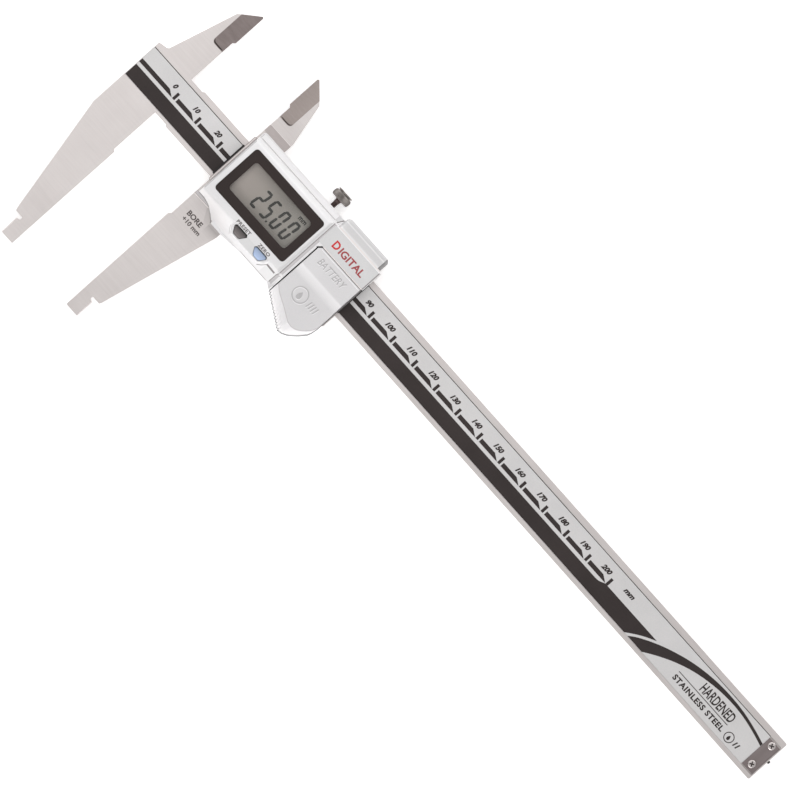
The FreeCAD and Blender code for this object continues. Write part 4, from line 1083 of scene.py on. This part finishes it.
def lid_shell():
    """The lid: a toothed edge, sloping sides, and a front that drops from the raised part to the lobe."""
    mesh = bmesh.new()
    crown = LID_PROFILE[0][1]
    loft(mesh, [thumb_ring(*ring) for ring in (
        (7.5, 0.0, 1.0), (9.3, 0.0, 1.0), (10.0, 0.12, 0.8), (11.2, 0.42, 0.25), (12.2, 0.76, 0.0),
        (crown, 1.0, 0.0),
    )])
    for y, _ in LID_PROFILE[1:-1]:
        split(mesh, (0, y, 0), (0, 1, 0))
    rim = {v for v in mesh.verts if v.co.z > crown - 1e-4}
    for vertex in rim:
        vertex.co.z = lid_top(vertex.co.y)
    bevel(mesh, [
        edge for edge in mesh.edges
        if rim.issuperset(edge.verts) and edge.calc_face_angle(0.0) > math.radians(20)
    ], 0.16)
    # The lower sloping faces take the lid's paint at full brightness, a painted highlight.
    paint(mesh, lambda centre, normal: normal.z < 0.98 and centre.y < -15.0)
    return piece("lid_shell", mesh, "slider", "lid_silver", "lid_highlight", replaces=("battery_lid",),
                 sharp=28.0)


def lid_seal():
    """The rubber seal between the lid and the case, which stands out a little all round, and a grey sheet
    beside the lid's right edge as painted shadow.
    """
    mesh = bmesh.new()
    outer, inner = [], []
    left, right, top, lobe, inset = 0.36, 0.2, 0.02, 0.27, 0.8
    for (x, y), _, (in_x, in_y), depth in SAMPLES:
        out = left if in_x > 0.99 else right if in_x < -0.99 else top if in_y < -0.6 else lobe
        outer.append((x + in_x * (depth - out), y + in_y * (depth - out)))
        inner.append((x + in_x * inset, y + in_y * inset))
    hoop(mesh, outer, inner, 7.15, 7.55)
    # A grey sheet beside the lid's right edge: painted shadow over the beam.
    prism(mesh, rectangle(82.1, -7.4, 82.52, 2.6), 6.6, 7.1, 1)
    return piece("lid_seal", mesh, "slider", "black_rubber", "shade_line_dark", replaces=("battery_lid_gasket",))


def case_shell():
    """The case under the lid: a flat part over the rail, and a lobe that narrows at its back."""
    mesh = bmesh.new()
    loft(mesh, [thumb_ring(6.42, 0.0, 1.0), thumb_ring(7.2, 0.0, 1.0)])
    lobe = [(x, min(y, -8.75), z) for x, y, z in thumb_ring(2.4, 0.0, 1.0)]
    inner = [(x + (0.25 if x < 64 else -0.25 if x > 82 else 0.0), y + (0.2 if y < -18 else 0.0), 2.4)
             for x, y, z in lobe]
    loft(mesh, [inner, [(x, y, 2.7) for x, y, z in lobe], [(x, y, 6.45) for x, y, z in lobe]])
    return piece("case_shell", mesh, "slider", "housing_silver", replaces=("battery_case",))


def lid_embossing():
    """A painted shade line along the thumb rest's contour, and raised marks in a darker painted shade, each
    with a painted highlight along its lower edge; also a painted highlight line below the lid's top edge and
    a black strip of painted shadow in the gap by the web.
    """
    mesh = bmesh.new()
    front = surface("battery_lid")
    contour = [(x, y + 0.35) for x, y in THUMB_FACE[3:14]]
    face, bright, line, black = range(4)
    crease(mesh, smooth_line(contour, 3), 0.22, front, line)
    back = 12.9
    # First a brighter copy offset down and right, a painted highlight under each mark, then the marks in
    # their darker painted shade.
    for material, right, down, drop in ((bright, 0.16, 0.2, 0.03), (face, 0.0, 0.0, 0.0)):
        upper, lower = 13.66 - drop, 13.18 - drop
        box = (66.9 + right, -1.8 - down, 78.3 + right, 0.5 - down)
        lettering(mesh, "BATTERY", box, 13.4, upper, 0.22, 0.008, 1.05, material)
        ring_and_drop(mesh, 70.9 + right, -12.2 - down, 2.75, 0.34, back, lower, material)
        low, high = -13.4 - down, -11.0 - down
        for left in (74.5 + right + index for index in range(4)):
            bar = [(left, low), (left + 0.35, low), (left + 0.79, high), (left + 0.4, high)]
            prism(mesh, bar, back, lower, material)
    # A painted highlight line below the lid's top edge.
    crease(mesh, [(65.0, 2.06), (81.8, 2.06)], 0.24, front, bright)
    # A black strip in the gap beside the housing web, a painted shadow.
    prism(mesh, rectangle(63.36, -18.35, 63.64, -13.6), 7.5, 8.2, black)
    return piece("lid_embossing", mesh, "slider", "lid_raised_shade", "lid_highlight", "shade_line_light", "black_rubber",
                 slot="lid_silver")


lid_shell()
case_shell()
lid_seal()
lid_embossing()
cross_screw("lid_screws", "slider", [(66.0, -16.6), (79.9, -17.4)], 2.42, 1.35, 0.45, True, ("screw_steel",),
            "battery_lid_screws")
cross_screw("case_screws", "slider", [(30.5, 11.1), (61.5, 11.1), (37.5, -11.9), (60.1, -11.9)],
            0.75, 1.45, 0.55, True, ("screw_steel",), "housing_screws")


# Clamp screw with its knurled knob.


TEETH = 46


def clamp_knob():
    """The screw with its thread, its knurled rim and its cap."""
    mesh = bmesh.new()
    base = 10.12
    profile = [(0.6, base), (0.92, base + 0.12)]
    turn = base + 0.3
    while turn < 14.6:
        profile += [(0.95, turn), (0.95, turn + 0.06), (0.8, turn + 0.2), (0.8, turn + 0.25)]
        turn += 0.45
    profile += [
        (0.95, 14.9), (0.96, 15.5), (1.05, 15.85), (1.25, 16.0), (2.5, 16.02), (2.95, 16.14), (3.17, 16.4),
        (3.25, 16.75), (3.25, 17.7), (3.17, 18.08), (2.95, 18.32), (2.6, 18.45), (2.3, 18.47), (2.3, 18.6),
        (2.68, 18.62), (2.75, 18.7), (2.75, 18.98), (2.66, 19.1), (0.9, 19.1), (0.8, 19.0),
    ]

    def knurl(radius, height, angle):
        if radius < 2.9 or height > 18.4:
            return 0.0
        depth = 0.16 if radius > 3.1 else 0.08
        return -depth * (0.5 - 0.5 * math.cos(TEETH * angle))

    def chosen(radius, height):
        """0 for the knob, 1 for the thread, 2 for the cap."""
        return 2 if height > 18.55 else int(radius < 1.3 and height < 15.9)

    turned(mesh, profile, 4 * TEETH, chosen, knurl)
    mesh.transform(Matrix.Translation((57.0, 0.0, 3.95)) @ Matrix.Rotation(math.radians(-90), 4, "X"))
    return piece("clamp_knob", mesh, "clamp_screw", "clamp_steel", "clamp_dark", "clamp_cap",
                 replaces=("clamp_screw",))


clamp_knob()


# Floor, light and camera.


def floor():
    """A white floor just below the slider's back."""
    mesh = bmesh.new()
    bmesh.ops.create_grid(mesh, x_segments=8, y_segments=8, size=4.0)
    data = bpy.data.meshes.new("floor")
    mesh.to_mesh(data)
    mesh.free()
    item = linked("floor", data)
    item.location.z = -0.0002
    nodes = Nodes("floor_white")
    nodes.shade(
        Base_Color=nodes.ramp(nodes.noise(6.0, 2.0), [(0.3, grey(0.92)), (0.7, grey(0.94))]),
        Roughness=0.7,
        Emission_Color=grey(1.0),
        Emission_Strength=0.45,
    )
    data.materials.append(nodes.material)


def softbox(name, place, target, size, power):
    light = bpy.data.lights.new(name, "AREA")
    light.shape = "RECTANGLE"
    light.size, light.size_y = size
    light.energy = power
    item = linked(name, light)
    item.location = place
    item.rotation_euler = (Vector(target) - Vector(place)).to_track_quat("-Z", "Y").to_euler()
    item.visible_camera = False


def studio_world():
    """Soft white surroundings, brightest overhead and darker towards the horizon."""
    world = bpy.data.worlds.new("studio")
    world.use_nodes = True
    tree = world.node_tree
    where = tree.nodes.new("ShaderNodeTexCoord")
    parts = tree.nodes.new("ShaderNodeSeparateXYZ")
    ramp = tree.nodes.new("ShaderNodeValToRGB")
    tree.links.new(where.outputs["Generated"], parts.inputs["Vector"])
    tree.links.new(parts.outputs["Z"], ramp.inputs["Fac"])
    levels = ((0.0, 0.12), (0.25, 0.26), (0.6, 0.48), (0.85, 0.65), (1.0, 0.67))
    fill_ramp(ramp, [(height, grey(level)) for height, level in levels])
    tree.links.new(ramp.outputs["Color"], tree.nodes["Background"].inputs["Color"])
    SCENE.world = world


floor()
studio_world()
softbox("softbox_far", (-0.25, 0.95, 0.7), (0, 0, 0), (1.2, 0.4), 3.9)
softbox("softbox_near", (0.3, -0.95, 0.7), (0, 0, 0), (1.2, 0.4), 5.9)
softbox("softbox_left", (-0.32, 0.12, 0.62), (-0.1, 0, 0), (0.5, 0.5), 0.62)
SCENE.view_settings.view_transform = "Standard"

VIEW_WIDTH = 0.2458
VIEW_DISTANCE = 10.0
SENSOR = 36.0
VIEW_TURN = 48.24
camera = bpy.data.cameras.new("camera")
camera.sensor_width = SENSOR
camera.lens = SENSOR * VIEW_DISTANCE / VIEW_WIDTH
camera.clip_start = 0.05
camera.clip_end = 50.0
eye = linked("camera", camera)
eye.location = TO_ROW @ Vector((115.35, -10.84, 6.0)) + Vector((0, 0, VIEW_DISTANCE))
eye.rotation_euler = (0.0, 0.0, math.radians(VIEW_TURN))
SCENE.camera = eye
